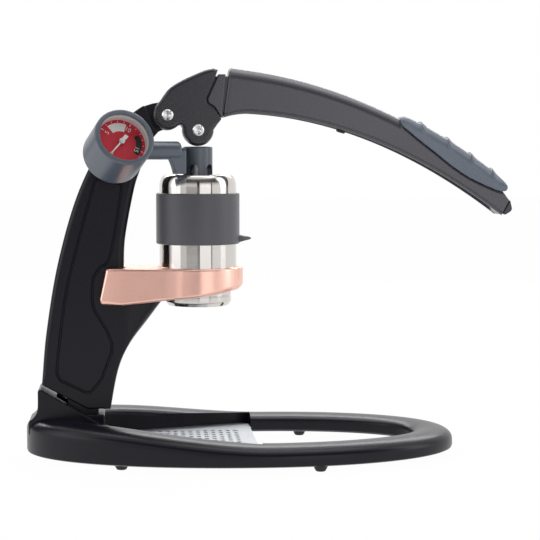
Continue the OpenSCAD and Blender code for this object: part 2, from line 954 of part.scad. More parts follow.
module gauge_case() {
    color([0.36, 0.4, 0.44])
        at_gauge()
            difference() {
                rotate_extrude()
                    polygon(concat(
                        [[0, case_back], [case_r - case_edge, case_back]],
                        arc([case_r - case_edge, case_back + case_edge], case_edge, -90, 0, 6),
                        arc([case_r - 1, case_front - 1], 1, 0, 90, 4),
                        [[case_bore - 0.9, case_front], [case_bore - 0.9, case_front - case_lip_t],
                         [case_bore, case_front - case_lip_t], [case_bore, case_back + case_floor],
                         [0, case_back + case_floor]]
                    ));
                rotate([0, 90, 0])
                    cylinder(r = socket_r + seat_fit, h = gauge_d);
            }
}

module gauge_socket() {
    color([0.72, 0.56, 0.28])
        at_gauge() {
            rotate([0, 90, 0])
                translate([0, 0, 8])
                    cylinder(r = socket_r, h = gauge_d / 2 + 3);
            translate([6, -3, -3])
                cube([7, 6, coil_z - coil_wire - 0.2 + 3]);
        }
}

// C-shaped pressure tube that uncoils under load
module bourdon_tube() {
    color([0.78, 0.62, 0.33])
        at_gauge()
            translate([0, 0, coil_z])
                rotate([0, 0, 4])
                    rotate_extrude(angle = 270)
                        translate([coil_r, 0])
                            circle(r = coil_wire, $fn = 20);
}

// Bridge that carries the needle's arbor
module gauge_movement() {
    bar_w = 9;
    bar_t = 1.6;
    color([0.75, 0.6, 0.3])
        at_gauge()
            translate([0, 0, dial_z - bar_t])
                difference() {
                    intersection() {
                        cylinder(r = case_bore - seat_fit, h = bar_t);
                        translate([-case_bore, -bar_w / 2, 0])
                            cube([2 * case_bore, bar_w, bar_t]);
                    }
                    translate([0, 0, -overlap])
                        cylinder(r = arbor_r + run_fit, h = bar_t + 2 * overlap);
                }
}

module gauge_dial() {
    color([0.78, 0.08, 0.16])
        at_gauge()
            translate([0, 0, dial_z])
                difference() {
                    cylinder(r = case_bore - seat_fit, h = dial_t);
                    translate([0, 0, -overlap])
                        cylinder(r = arbor_r + 0.5, h = dial_t + 2 * overlap);
                }
}

module gauge_ring() {
    color([0.85, 0.85, 0.83])
        at_gauge()
            translate([0, 0, dial_z + dial_t])
                difference() {
                    cylinder(r = case_bore - seat_fit, h = lens_z - dial_z - dial_t);
                    translate([0, 0, -overlap])
                        cylinder(r = case_bore - 1.2, h = lens_z);
                }
}

module gauge_lens() {
    color([0.85, 0.92, 0.95, 0.35])
        at_gauge()
            translate([0, 0, lens_z])
                cylinder(r = case_bore - seat_fit, h = lens_t - seat_fit);
}

// Needle at rest on zero, with a short broad tail
module gauge_needle() {
    tip = 11.5;
    tail = 6;
    color([0.95, 0.95, 0.93])
        at_gauge()
            translate([0, 0, needle_z])
                difference() {
                    union() {
                        cylinder(r = 2.4, h = needle_t);
                        linear_extrude(needle_t)
                            rotate(needle_rest)
                                polygon([
                                    [-tail, -1.7], [0, -1.1], [tip, -0.25],
                                    [tip, 0.25], [0, 1.1], [-tail, 1.7]
                                ]);
                    }
                    translate([0, 0, -overlap])
                        cylinder(r = arbor_r + seat_fit, h = needle_t + 2 * overlap);
                }
}

module needle_arbor() {
    color([0.8, 0.8, 0.78])
        at_gauge()
            translate([0, 0, dial_z - 3]) {
                cylinder(r = arbor_r, h = needle_z + needle_t + 0.8 - dial_z + 3);
                cylinder(r = 2, h = 1.3);
            }
}

// Cylinder, sleeve, portafilter and what they hold
cyl_r = cyl_d / 2;
module brew_cylinder() {
    shoulder = 4;
    rise = 8;
    color([0.8, 0.81, 0.83])
        at_brew(cyl_z)
            rotate_extrude($fn = 96)
                polygon(concat(
                    [[bore_r, 0], [cyl_r, 0]],
                    [for (i = [0:8])
                        let (a = 90 * i / 8)
                        [cyl_r - shoulder * (1 - cos(a)), cyl_h - rise + rise * sin(a)]],
                    [[bore_r, cyl_h]]
                ));
}

sleeve_z = cyl_z + 21;
module silicone_sleeve() {
    tab_l = 7.5;
    tab_w = 12;
    tab_h = 4;
    inner = cyl_r + seat_fit;
    outer = inner + sleeve_t;
    color([0.35, 0.35, 0.37])
        at_brew(sleeve_z)
            difference() {
                union() {
                    rotate_extrude($fn = 96)
                        polygon(concat(
                            [[inner, 0], [outer - 0.6, 0], [outer, 0.8]],
                            arc([outer - 1, sleeve_h - 1], 1, 0, 90, 4),
                            [[inner, sleeve_h]]
                        ));
                    translate([cyl_r, -tab_w / 2, 1])
                        cube([sleeve_t + tab_l - tab_w / 3, tab_w, tab_h]);
                    translate([outer + tab_l - tab_w / 2, 0, 1])
                        cylinder(d = tab_w, h = tab_h);
                }
                cylinder(r = inner, h = sleeve_h);
            }
}

module cylinder_gasket() {
    color([0.5, 0.5, 0.5])
        at_brew(seat_z + flange_h)
            difference() {
                cylinder(r = cyl_r - 0.2, h = gasket_t);
                translate([0, 0, -overlap])
                    cylinder(r = bore_r + 0.4, h = gasket_t + 2 * overlap);
            }
}

cup_r = cup_d / 2;
cup_wall = 2.2;
basket_r = cup_r - cup_wall;
basket_t = 0.7;
cup_floor = 3;
module portafilter() {
    chamfer = 2;
    spout_r = 9;
    color([0.8, 0.81, 0.83])
        at_brew()
            rotate_extrude($fn = 96)
                polygon([
                    [spout_r, cup_bottom + 1], [spout_r + 1, cup_bottom], [cup_r - chamfer, cup_bottom],
                    [cup_r, cup_bottom + chamfer + 1], [cup_r, seat_z], [cyl_r, seat_z],
                    [cyl_r, seat_z + flange_h], [basket_r, seat_z + flange_h],
                    [basket_r, cup_bottom + cup_floor], [spout_r, cup_bottom + cup_floor]
                ]);
}

// Rings of small holes through a disc
module ring_holes(r, d, h) {
    rings = floor((r - d) / 4);
    translate([0, 0, -overlap]) {
        cylinder(d = d, h = h + 2 * overlap, $fn = 16);
        for (k = [1:rings]) for (i = [0:6 * k - 1])
            rotate(60 * i / k)
                translate([4 * k, 0, 0])
                    cylinder(d = d, h = h + 2 * overlap, $fn = 16);
    }
}

module filter_basket() {
    bottom = cup_bottom + cup_floor;
    top = screen_top - 1.4;
    color([0.72, 0.73, 0.74])
        at_brew(bottom)
            difference() {
                cylinder(r = basket_r - seat_fit, h = top - bottom);
                translate([0, 0, basket_t])
                    cylinder(r = basket_r - seat_fit - basket_t, h = top);
                ring_holes(basket_r - 3, 1, basket_t);
            }
}

module shower_screen() {
    screen_t = 1.2;
    color([0.75, 0.76, 0.77])
        at_brew(screen_top - screen_t)
            difference() {
                cylinder(r = basket_r - seat_fit, h = screen_t);
                ring_holes(basket_r - 2, 1.6, screen_t);
            }
}

// Drip tray: a pan that widens to the front with the oval, and the grate that lies on it
rim_t = 1.6;
flange_t = 1;
rim_top = ledge_z + flange_t + 0.6;
well_inset = 6;
well_w = base_w - 2 * ring_w - 30;
well_floor = 1.2;
well_z = 2.2;
module tray_plan() {
    polygon([
        [tray_x0, -tray_rear_w / 2], [tray_x1, -tray_w / 2],
        [tray_x1, tray_w / 2], [tray_x0, tray_rear_w / 2]
    ]);
}

module drip_tray() {
    color([0.12, 0.12, 0.13])
        difference() {
            union() {
                translate([0, 0, ledge_z])
                    linear_extrude(rim_top - ledge_z)
                        tray_plan();
                translate([tray_x0 + well_inset, -well_w / 2, well_z])
                    cube([tray_l - 2 * well_inset, well_w, ledge_z - well_z + flange_t]);
            }
            translate([0, 0, ledge_z + flange_t])
                linear_extrude(ledge_z)
                    offset(delta = -rim_t)
                        tray_plan();
            translate([tray_x0 + well_inset + rim_t, -well_w / 2 + rim_t, well_z + well_floor])
                cube([tray_l - 2 * well_inset - 2 * rim_t, well_w - 2 * rim_t, 3 * ledge_z]);
        }
}

module drip_grate() {
    cols = 11;
    rows = 9;
    col_pitch = 5.05;
    row_pitch = 7.2;
    first = 15.3;
    corner = 6;
    color([0.72, 0.72, 0.73])
        translate([0, 0, rim_top + 0.1])
            difference() {
                linear_extrude(grate_t)
                    offset(r = corner)
                        offset(delta = -corner)
                            tray_plan();
                for (i = [0:cols - 1]) for (j = [0:rows - 1])
                    translate([tray_x0 + first + i * col_pitch, (j - (rows - 1) / 2) * row_pitch, -overlap])
                        cylinder(d = grate_hole, h = grate_t + 2 * overlap, $fn = 16);
            }
}

base_casting();
rubber_feet();
post();
post_thumbscrew();
bracket();
bracket_screws();
pivot_bush();
pivot_washers();
pivot_pin();
lever_head();
lever_arm();
arm_screws();
grip_pad();
lever_end_cap();
arm_bumper();
roller_pin();
press_roller();
piston();
piston_rod();
piston_o_rings();
stem_manifold();
gauge_case();
gauge_socket();
bourdon_tube();
gauge_movement();
gauge_dial();
gauge_ring();
gauge_lens();
gauge_needle();
needle_arbor();
brew_cylinder();
silicone_sleeve();
cylinder_gasket();
portafilter();
filter_basket();
shower_screen();
drip_tray();
drip_grate();
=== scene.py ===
# %% [markdown]
# # Dressing a hand-lever espresso maker
# The machine is a cast post on an open oval base. A long lever turns on a pin at the top of
# the post, and a roller in its head presses a stem down into a steel brew cylinder. The
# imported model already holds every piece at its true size, so this lesson only adds what the
# eye wants: soft edges on castings, fine grain in paint and metal, and a quiet studio.

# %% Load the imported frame
import math

import bmesh
import bpy
import numpy as np
from mathutils import Matrix, Vector


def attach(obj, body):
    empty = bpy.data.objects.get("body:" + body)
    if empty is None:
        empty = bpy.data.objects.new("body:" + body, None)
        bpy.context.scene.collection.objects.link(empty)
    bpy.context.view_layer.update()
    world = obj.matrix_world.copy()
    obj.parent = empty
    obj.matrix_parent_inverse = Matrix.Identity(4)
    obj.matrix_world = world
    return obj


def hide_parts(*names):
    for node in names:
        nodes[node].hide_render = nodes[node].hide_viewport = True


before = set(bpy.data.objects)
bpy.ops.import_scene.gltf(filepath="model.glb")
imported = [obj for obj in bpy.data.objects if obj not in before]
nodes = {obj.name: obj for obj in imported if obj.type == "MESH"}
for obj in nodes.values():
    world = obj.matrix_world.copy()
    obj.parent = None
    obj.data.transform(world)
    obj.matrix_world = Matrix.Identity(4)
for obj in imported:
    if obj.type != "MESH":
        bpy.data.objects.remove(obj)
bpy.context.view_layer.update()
scene = bpy.context.scene
MM = 0.001
BREW_X = -47.0

# %% [markdown]
# ## Camera
# A long lens from far away keeps the verticals straight, as a product photographer would.
# The camera stands a little to the left and just above the lever, and looks slightly down.
# It is made first, because every later choice is judged through it.

# %% Camera
LENS, SENSOR = 108.28, 36
CAMERA_AT = (-88.76, -1054.74, 196.24)
LOOK_DOWN = 4.099
LOOK_RIGHT = 4.81

lens = bpy.data.cameras.new("photo_camera")
lens.lens = LENS
lens.sensor_width = SENSOR
camera = bpy.data.objects.new("photo_camera", lens)
camera.location = Vector(CAMERA_AT) * MM
camera.rotation_euler = (math.radians(90 - LOOK_DOWN), 0, math.radians(-LOOK_RIGHT))
scene.collection.objects.link(camera)
scene.camera = camera
scene.view_settings.view_transform = "Standard"
print("camera at", tuple(round(c, 3) for c in camera.location))

# %% [markdown]
# ## Two small helpers for shaders
# Colours are written as the hex values a paint chart would give, and one function turns
# them to linear light. Another adds a node with its settings and links, so that each
# material below reads as a short list.

# %% Shader helpers
def linear(chart):
    parts = [int(chart[i:i + 2], 16) / 255 for i in (1, 3, 5)]
    return tuple(c / 12.92 if c < 0.04045 else ((c + 0.055) / 1.055) ** 2.4 for c in parts) + (1.0,)


def add(tree, kind, links=None, **settings):
    made = tree.nodes.new("ShaderNode" + kind)
    for key, value in settings.items():
        setattr(made, key, value)
    for key, value in (links or {}).items():
        if isinstance(value, bpy.types.NodeSocket):
            tree.links.new(value, made.inputs[key])
        else:
            made.inputs[key].default_value = value
    return made


def blank_tree(owner):
    owner.use_nodes = True
    owner.node_tree.nodes.clear()
    return owner.node_tree


print("mid grey is", round(linear("#808080")[0], 3), "in linear light")

# %% [markdown]
# ## Studio
# The machine stands on white paper in a white room. The room lights the paint at a plain
# level, and what the lens or a mirror sees of it is paper white. Soft boxes above and beside it,
# and a strip behind, give the castings their bright edges.

# %% World and floor
ROOM_FILL = 0.5
PAPER_GLOW = 0.98


def seen(tree):
    """1 where the lens, a mirror or clear plastic looks at the surface, and 0 where it only lights."""
    ray = add(tree, "LightPath").outputs
    eye = add(tree, "Math", {0: ray["Is Camera Ray"], 1: ray["Is Glossy Ray"]}, operation="MAXIMUM")
    return add(tree, "Math", {0: eye.outputs[0], 1: ray["Is Transmission Ray"]},
               operation="MAXIMUM").outputs[0]


room = bpy.data.worlds.new("white_room")
scene.world = room
tree = blank_tree(room)
level = add(tree, "Math", {0: seen(tree), 1: 1 - ROOM_FILL, 2: ROOM_FILL}, operation="MULTIPLY_ADD")
glow = add(tree, "Background", {"Color": (1, 1, 1, 1), "Strength": level.outputs[0]})
add(tree, "OutputWorld", {"Surface": glow.outputs[0]})

paper = bpy.data.materials.new("white_paper")
tree = blank_tree(paper)
share = add(tree, "Math", {0: seen(tree), 1: PAPER_GLOW}, operation="MULTIPLY")
matt = add(tree, "BsdfDiffuse", {"Color": linear("#f2f2f2")})
white = add(tree, "Emission", {"Color": (1, 1, 1, 1), "Strength": 1.0})
both = add(tree, "MixShader", {0: share.outputs[0], 1: matt.outputs[0], 2: white.outputs[0]})
add(tree, "OutputMaterial", {"Surface": both.outputs[0]})
paper.cycles.emission_sampling = "NONE"

FLOOR_HALF = 6.0
FLOOR_Z = -0.0001
sheet = bpy.data.meshes.new("floor")
corners = [(sx * FLOOR_HALF, sy * FLOOR_HALF, FLOOR_Z) for sx, sy in ((-1, -1), (1, -1), (1, 1), (-1, 1))]
sheet.from_pydata(corners, [], [(0, 1, 2, 3)])
sheet.materials.append(paper)
floor = bpy.data.objects.new("floor", sheet)
scene.collection.objects.link(floor)
print("floor", 2 * FLOOR_HALF, "m square")

# %% [markdown]
# Small lamps would leave hard spots on satin paint. Soft boxes are broad, so each curved edge
# carries a long even highlight. They are faintly blue, as daylight is.

# %% Soft boxes
AIM = Vector((0, 0, 0.12))
DAYLIGHT = (0.97, 0.985, 1.0)
# Name, place, width and height in metres, and watts.
SOFT_BOXES = [
    ("top_box", (0.1, 0.25, 1.35), 1.3, 0.9, 8.0),
    ("left_box", (-1.5, -0.5, 0.75), 1.0, 1.6, 6.5),
    ("right_box", (1.5, -0.3, 0.8), 0.6, 1.4, 5.5),
    ("rear_strip", (0.0, 1.2, 0.95), 1.8, 0.3, 10.0),
]
for name, spot, width, height, power in SOFT_BOXES:
    light = bpy.data.lights.new(name, "AREA")
    light.shape = "RECTANGLE"
    light.size, light.size_y, light.energy = width, height, power
    light.color = DAYLIGHT
    box = bpy.data.objects.new(name, light)
    box.location = spot
    box.rotation_euler = (AIM - Vector(spot)).to_track_quat("-Z", "Y").to_euler()
    box.visible_camera = False
    scene.collection.objects.link(box)
print("lit by", len(SOFT_BOXES), "soft boxes")

# %% [markdown]
# A polished cylinder in a white room would vanish into it. So dark and pale sheets stand round
# the lens as painted reflections. They glow at a set brightness, some brighter than the room, and
# only mirrors see them. The steel shows them as upright stripes and the satin paint as darker faces,
# while they light and shade nothing and never get into a picture.

# %% Cards for painted reflections
CARD_RADIUS = 2.6
FROM_LENS = -92.3
CARD_LIFT = 0.001
# Painted reflections: each sheet is seen only in mirrors, as painted shade, or as a painted highlight where
# its brightness is above one.
# First and last angle from the lens, brightness, then the low and high edge in metres.
CARDS = [(-34, 1.7, 0.15, 0.0, 0.26), (1.7, 5.6, 0.0, 0.0, 1.2), (39.4, 43, 0.03, 0.0, 1.2),
         (-135, -107, 0.02, 0.0, 3.0), (99, 104, 0.05, 0.5, 3.0), (-2, 10, 0.0, 0.2, 1.0),
         (-75, 75, 0.02, 1.0, 3.2), (5.6, 39.4, 1.6, 0.0, 1.0)]
# On the floor: angles and brightness again, then the inner radius in metres.
FLOOR_CARDS = [(-34, 1.7, 0.28, 1.0), (1.7, 5.6, 0.0, 1.0), (39.4, 43, 0.03, 1.0), (-107, -34, 0.5, 0.6)]


# A sheet that glows at a set brightness and only mirrors see: a painted reflection, not a lamp.
def card(shade, rows):
    ink = bpy.data.materials.new(f"card_{shade}")
    tree = blank_tree(ink)
    dim = add(tree, "Emission", {"Color": (1, 1, 1, 1), "Strength": shade})
    add(tree, "OutputMaterial", {"Surface": dim.outputs[0]})
    ink.cycles.emission_sampling = "NONE"
    mesh = bpy.data.meshes.new("card")
    half = len(rows) // 2
    mesh.from_pydata(rows, [], [(i, i + 1, i + 1 + half, i + half) for i in range(half - 1)])
    mesh.materials.append(ink)
    made = bpy.data.objects.new("card", mesh)
    made.visible_camera = made.visible_diffuse = made.visible_shadow = made.visible_transmission = False
    scene.collection.objects.link(made)


def card_row(first, last, radius, z):
    turn = np.radians(np.linspace(first, last, 9) + FROM_LENS)
    return [(BREW_X * MM + radius * math.cos(a), radius * math.sin(a), z) for a in turn]


for first, last, shade, low, high in CARDS:
    lower, upper = (card_row(first, last, CARD_RADIUS, z) for z in (low + CARD_LIFT, high))
    card(shade, lower + upper)
for first, last, shade, near in FLOOR_CARDS:
    inner, outer = (card_row(first, last, radius, CARD_LIFT) for radius in (near, CARD_RADIUS))
    card(shade, inner + outer)
print("cards", len(CARDS) + len(FLOOR_CARDS))

# %% [markdown]
# ## Finishes
# Every finish here is one real process on one real material: a broad, faint drift of colour
# as batches and handling give it, and a fine grain that breaks up the gloss and lifts the
# surface a few microns. One function builds that pair of patterns, with the grain's size in
# millimetres, or one along each of X, Y and Z, so brushing and turning are only long thin grain.
# Real blasting, brushing and mould grain are finer than the half millimetre used here. They are
# drawn that coarse so that the picture can show them.

# %% A function for finishes
DRIFT = 35.0
NOISE_SPAN = (0.3, 0.7)


def finish(name, dark, light, grain, rough, relief=0.0, lathe=None, shine=None, **sockets):
    made = bpy.data.materials.new(name)
    tree = blank_tree(made)
    spot = add(tree, "TexCoord").outputs["Object"]
    drift = add(tree, "TexNoise", {"Vector": spot, "Scale": 1 / (DRIFT * MM), "Detail": 2.0})
    colour = add(tree, "Mix", {0: drift.outputs["Fac"], 6: linear(dark), 7: linear(light)}, data_type="RGBA")
    sizes = grain if isinstance(grain, tuple) else (grain,) * 3
    scaled = add(tree, "Mapping", {"Vector": spot, "Scale": tuple(1 / (size * MM) for size in sizes)})
    fine = add(tree, "TexNoise", {"Vector": scaled.outputs[0], "Scale": 1.0, "Detail": 3.0})
    gloss = add(tree, "MapRange", {"Value": fine.outputs["Fac"], "From Min": NOISE_SPAN[0],
                                   "From Max": NOISE_SPAN[1], "To Min": rough[0], "To Max": rough[1]})
    links = {"Base Color": colour.outputs[2], "Roughness": gloss.outputs[0], **sockets}
    if shine is not None:
        links["Specular IOR Level"] = shine
    if relief:
        bump = add(tree, "Bump", {"Height": fine.outputs["Fac"], "Distance": relief * MM, "Strength": 1.0})
        links["Normal"] = bump.outputs[0]
    if lathe:
        turn = add(tree, "Tangent", direction_type="RADIAL", axis=lathe)
        links.update({"Tangent": turn.outputs[0], "Anisotropic": 1.0, "Anisotropic Rotation": 0.25})
    skin = add(tree, "BsdfPrincipled", links)
    add(tree, "OutputMaterial", {"Surface": skin.outputs[0]})
    return made


print("colour drifts over", DRIFT, "mm")

# %% [markdown]
# The castings are aluminium under a satin powder coat. The powder melts into a skin with a
# faint orange peel, about 0.8 mm from crest to crest, so highlights stay soft and a little
# broken. The lever's head and arm wear the same black coat, drawn in lighter copies: the head a
# shade greyer than the stand and the arm greyer again, as painted light for the light and sheen they catch.

# %% Paint
stand_coat = finish("satin_black_powder_coat", "#110f17", "#16141e", 0.8, (0.27, 0.33),
                    0.001, shine=0.26)
# Lighter copies of the stand's black coat: painted light on the lever's head, and lighter still on its arm.
lever_coat_painted_lighter = finish("satin_black_powder_coat_painted_lighter", "#25232a", "#2c2a31", 0.8, (0.25, 0.31),
                    0.0006, shine=0.6)
arm_coat_painted_lightest = finish("satin_black_powder_coat_painted_lightest", "#413f46", "#49474e", 0.8, (0.25, 0.31),
                  0.0006, shine=0.65)
print(stand_coat.name, lever_coat_painted_lighter.name, arm_coat_painted_lightest.name)

# %% [markdown]
# The bracket is bead-blasted aluminium, anodised rose gold: a metal colour with a fine sandy
# sparkle. Steel comes in three finishes. The brew cylinder was turned and then polished, so
# its hairlines run round the axis and smear a highlight along it; the pins are faced in the same
# way. The drip grate was brushed along its length, and small hardware is plain satin. The bush
# and the works of the gauge are drawn brass, which is only seen when the machine is taken apart.

# %% Metals
METAL = {"Metallic": 1.0}
rose_anodised = finish("rose_anodised_aluminium", "#f0baa9", "#f7cabb", 0.45, (0.27, 0.35),
                       0.006, **METAL)
turned_steel = finish("polished_turned_stainless", "#cdc8c4", "#d8d4d0", (80.0, 80.0, 0.5), (0.12, 0.17),
                      0.0, "Z", **METAL)
pin_steel = finish("faced_stainless", "#dedede", "#ececec", 0.6, (0.16, 0.24), 0.0, "Y", **METAL)
brushed_steel = finish("brushed_stainless", "#b2b4b8", "#c2c4c8", (40.0, 0.5, 40.0), (0.28, 0.42),
                       0.004, **METAL)
satin_steel = finish("satin_steel", "#a9aaac", "#bcbdbf", 0.6, (0.24, 0.34), 0.003, **METAL)
yellow_brass = finish("drawn_brass", "#a9843f", "#c19c55", (0.6, 8.0, 0.6), (0.25, 0.38), 0.004, **METAL)
print("metals", rose_anodised.name, turned_steel.name, brushed_steel.name)

# %% [markdown]
# Soft and moulded pieces: dark silicone for the sleeve, a bluer silicone for the grip,
# glass-filled nylon for the gauge housing, ABS for the tray, acetal for washers and the pale
# ring of the gauge, and black rubber, the dullest of them, for the feet. Moulds are
# spark-eroded, which leaves an even grain and a soft gloss.

# %% Plastics and rubber
sleeve_silicone = finish("grey_silicone", "#4c4c51", "#55555a", 0.5, (0.36, 0.44), 0.005,
                         **{"Sheen Weight": 0.08, "Sheen Roughness": 0.5})
grip_silicone = finish("blue_grey_silicone", "#636a76", "#6f7682", 0.6, (0.32, 0.4), 0.001,
                       shine=0.5)
grey_nylon = finish("grey_filled_nylon", "#474f5a", "#525b67", 0.5, (0.28, 0.36), 0.004,
                    shine=0.75)
black_rubber = finish("black_rubber", "#131314", "#1b1b1c", 0.4, (0.58, 0.7), 0.006)
black_abs = finish("black_abs", "#18181a", "#202022", 0.5, (0.38, 0.5), 0.006)
white_acetal = finish("white_acetal", "#d2d2d0", "#e0e0dd", 0.5, (0.22, 0.32), 0.002)
print("mouldings", grey_nylon.name, grip_silicone.name)

# %% [markdown]
# The dial is printed tinplate under a clear acrylic window. Inks are flat with a slight
# gloss. The window is thin enough to read as a faint sheen, so it is mostly see-through.

# %% Dial inks and window
red_ink = finish("red_dial_ink", "#c2122c", "#d61f3a", 0.3, (0.4, 0.5))
white_ink = finish("white_dial_ink", "#e6e4df", "#f2f0eb", 0.3, (0.4, 0.5))
black_ink = finish("black_dial_ink", "#151516", "#1d1d1e", 0.3, (0.4, 0.5))
acrylic = finish("clear_acrylic", "#20262a", "#2a3034", 30.0, (0.03, 0.05), Alpha=0.05)
print("dial", red_ink.name, acrylic.name)

# %% [markdown]
# ## Shapes
# Most castings here are a flat outline with thickness and round edges. The outline is drawn
# in millimetres, softened at its corners, and stacked in shrinking loops towards each face,
# which rounds the edge exactly and keeps the faces flat. Round pieces are turned from a
# profile. Solids are joined and cut with booleans while they are still plain.

# %% Outlines
def sweep(first, last, count):
    """Even angles, from degrees to radians."""
    return np.radians(np.linspace(first, last, count))


def arc(centre, radius, first, last, count):
    x, z = centre
    return [(x + radius * math.cos(a), z + radius * math.sin(a)) for a in sweep(first, last, count)]


def flowing(points, steps):
    """A smooth line through given points."""
    p = np.array(points, float)
    p = np.vstack([p[0], p, p[-1]])
    line = []
    for i in range(1, len(p) - 2):
        a, b, c, d = p[i - 1:i + 3]
        for t in np.arange(steps) / steps:
            line.append(0.5 * (2 * b + (c - a) * t + (2 * a - 5 * b + 4 * c - d) * t * t
                               + (3 * b - a - 3 * c + d) * t ** 3))
    return [tuple(q) for q in line] + [tuple(points[-1])]


def softened(points, step, passes=2):
    """A closed outline with even steps and corners rounded by about one step."""
    p = np.array(points, float)
    closed = np.vstack([p, p[0]])
    run = np.concatenate([[0], np.cumsum(np.linalg.norm(np.diff(closed, axis=0), axis=1))])
    even = np.linspace(0, run[-1], max(12, int(run[-1] / step)), endpoint=False)
    p = np.stack([np.interp(even, run, closed[:, k]) for k in (0, 1)], 1)
    for _ in range(passes):
        ahead = np.roll(p, -1, 0)
        p = np.stack([0.75 * p + 0.25 * ahead, 0.25 * p + 0.75 * ahead], 1).reshape(-1, 2)
    x, z = p.T
    area = np.sum(x * np.roll(z, -1) - np.roll(x, -1) * z)
    return p if area > 0 else p[::-1]


def inset(outline, distance):
    """The outline moved inwards; where two stretches would cross, they are drawn to one point."""
    ahead = np.roll(outline, -1, 0) - outline
    length = np.linalg.norm(ahead, axis=1)[:, None]
    ahead = ahead / length
    along = ahead + np.roll(ahead, 1, 0)
    along = along / np.linalg.norm(along, axis=1)[:, None]
    reach = distance / np.clip((along * ahead).sum(1), 0.6, 1)
    moved = outline + np.stack([-along[:, 1], along[:, 0]], 1) * reach[:, None]
    gap = moved[:, None] - outline[None]
    run = np.clip((gap * ahead[None]).sum(2), 0, length[None, :, 0])
    near = np.linalg.norm(gap - run[..., None] * ahead[None], axis=2).min(1)
    good = np.flatnonzero(near > 0.93 * distance)
    if 0 < len(good) < len(moved):
        every = np.arange(len(moved))
        spots = np.concatenate([[good[-1] - len(moved)], good, [good[0] + len(moved)]])
        for k in (0, 1):
            moved[:, k] = np.interp(every, spots, moved[spots % len(moved), k])
    return moved


ring = softened(arc((0, 0), 10, 0, 359, 40), 1.0)
print("a circle of radius 10 shrinks to", round(float(np.abs(inset(ring, np.full(len(ring), 2.0))).max()), 2))

# %% [markdown]
# Blender's own primitives could be bevelled, but the bevel would change from corner to corner.
# So loops of points are skinned into plates and turned pieces, and each edge has the radius
# that it is given.

# %% Solids
def skinned(loops, ends=True, ring=False):
    """Faces between equal loops of vertices, with end faces or closed into a ring."""
    n, m = len(loops), len(loops[0])
    faces = []
    for i in range(n if ring else n - 1):
        k = (i + 1) % n
        faces += [(i * m + j, i * m + (j + 1) % m, k * m + (j + 1) % m, k * m + j) for j in range(m)]
    if ends and not ring:
        faces += [tuple(range(m))[::-1], tuple(range((n - 1) * m, n * m))]
    return [tuple(v) for loop in loops for v in loop], faces


def plate(outline, low, high, edge, upright=True, steps=4):
    """An outline with thickness and rounded edges: in X and Z across Y, or flat in X and Y."""
    edges = edge if isinstance(edge, tuple) else (edge, edge)
    loops = []
    for side, (level, round_) in enumerate(zip((low, high), edges)):
        level, round_ = (np.broadcast_to(np.asarray(v, float), (len(outline),)) for v in (level, round_))
        for a in sweep(0, 90, steps + 1)[::1 - 2 * side]:
            flat = inset(outline, round_ * (1 - math.sin(a)))
            depth = level + round_ * (1 - math.cos(a)) * (1 - 2 * side)
            loops.append([(p[0], d, p[1]) if upright else (p[0], p[1], d) for p, d in zip(flat, depth)])
    return skinned(loops)


SHARP = 0.01


def cutter(outline, low, high, upright=True):
    """A plate with sharp edges, to cut with."""
    return plate(outline, low, high, SHARP, upright, 1)


def turned(profile, turns=96):
    """A profile of radius and height, turned about the upright axis."""
    angles = np.linspace(0, 2 * math.pi, turns, endpoint=False)
    loops = [[(r * math.cos(a), r * math.sin(a), z) for a in angles] for r, z in profile]
    solid_core = profile[0][0] == 0 and profile[-1][0] == 0
    return skinned(loops, ends=False, ring=not solid_core)


def rod(radius, low, high, turns=48):
    return turned([(0, low), (radius, low), (radius, high), (0, high)], turns)


print("a rounded disc has", len(plate(ring, 0, 5, 1.0, False)[1]), "faces")

# %% [markdown]
# Joining and cutting go through Blender's boolean, as a caster adds bosses and a miller takes
# pockets out. Dressing gives a finished piece its coat, its smooth shading, the body that
# carries it and the solid that it stands for.

# %% Joining, cutting and dressing
MELD = 0.001


def solid(name, shape, place=None):
    verts, faces = shape
    mesh = bpy.data.meshes.new(name)
    mesh.from_pydata([tuple(c * MM for c in v) for v in verts], [], faces)
    work = bmesh.new()
    work.from_mesh(mesh)
    bmesh.ops.remove_doubles(work, verts=work.verts, dist=MELD * MM)
    bmesh.ops.recalc_face_normals(work, faces=work.faces)
    work.to_mesh(mesh)
    work.free()
    if place is not None:
        mesh.transform(place)
    made = bpy.data.objects.new(name, mesh)
    scene.collection.objects.link(made)
    return made


def combine(target, shape, place, how):
    tool = solid("tool", shape, place)
    change = target.modifiers.new("combine", "BOOLEAN")
    change.operation, change.solver, change.object = how, "MANIFOLD", tool
    bpy.context.view_layer.update()
    graph = bpy.context.evaluated_depsgraph_get()
    mesh = bpy.data.meshes.new_from_object(target.evaluated_get(graph))
    target.modifiers.clear()
    target.data = mesh
    bpy.data.objects.remove(tool, do_unlink=True)


def join(target, shape, place=None):
    combine(target, shape, place, "UNION")


def cut(target, shape, place=None):
    combine(target, shape, place, "DIFFERENCE")


def drill(target, radius, low, high, place, turns=48):
    """A round hole along the upright axis of a place."""
    cut(target, rod(radius, low, high, turns), place)


def gathered(shapes):
    """Several shapes as one."""
    verts, faces = [], []
    for v, f in shapes:
        faces += [tuple(k + len(verts) for k in face) for face in f]
        verts += v
    return verts, faces


def dress(made, coat, body, slot, *replaced, crease=40):
    made.data.materials.clear()
    made.data.materials.append(coat)
    made.data.shade_smooth()
    made.data.set_sharp_from_angle(angle=math.radians(crease))
    even = made.modifiers.new("even_faces", "WEIGHTED_NORMAL")
    even.keep_sharp = True
    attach(made, body)
    if replaced:
        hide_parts(*replaced)
    print(made.name, len(made.data.polygons), "faces on", body)


def at(x, y, z):
    return Matrix.Translation((x * MM, y * MM, z * MM))


def spin(degrees, axis):
    return Matrix.Rotation(math.radians(degrees), 4, axis)


def across(x, z):
    """A frame whose upright axis runs across the machine, at x and z."""
    return at(x, 0, z) @ spin(90, "X")


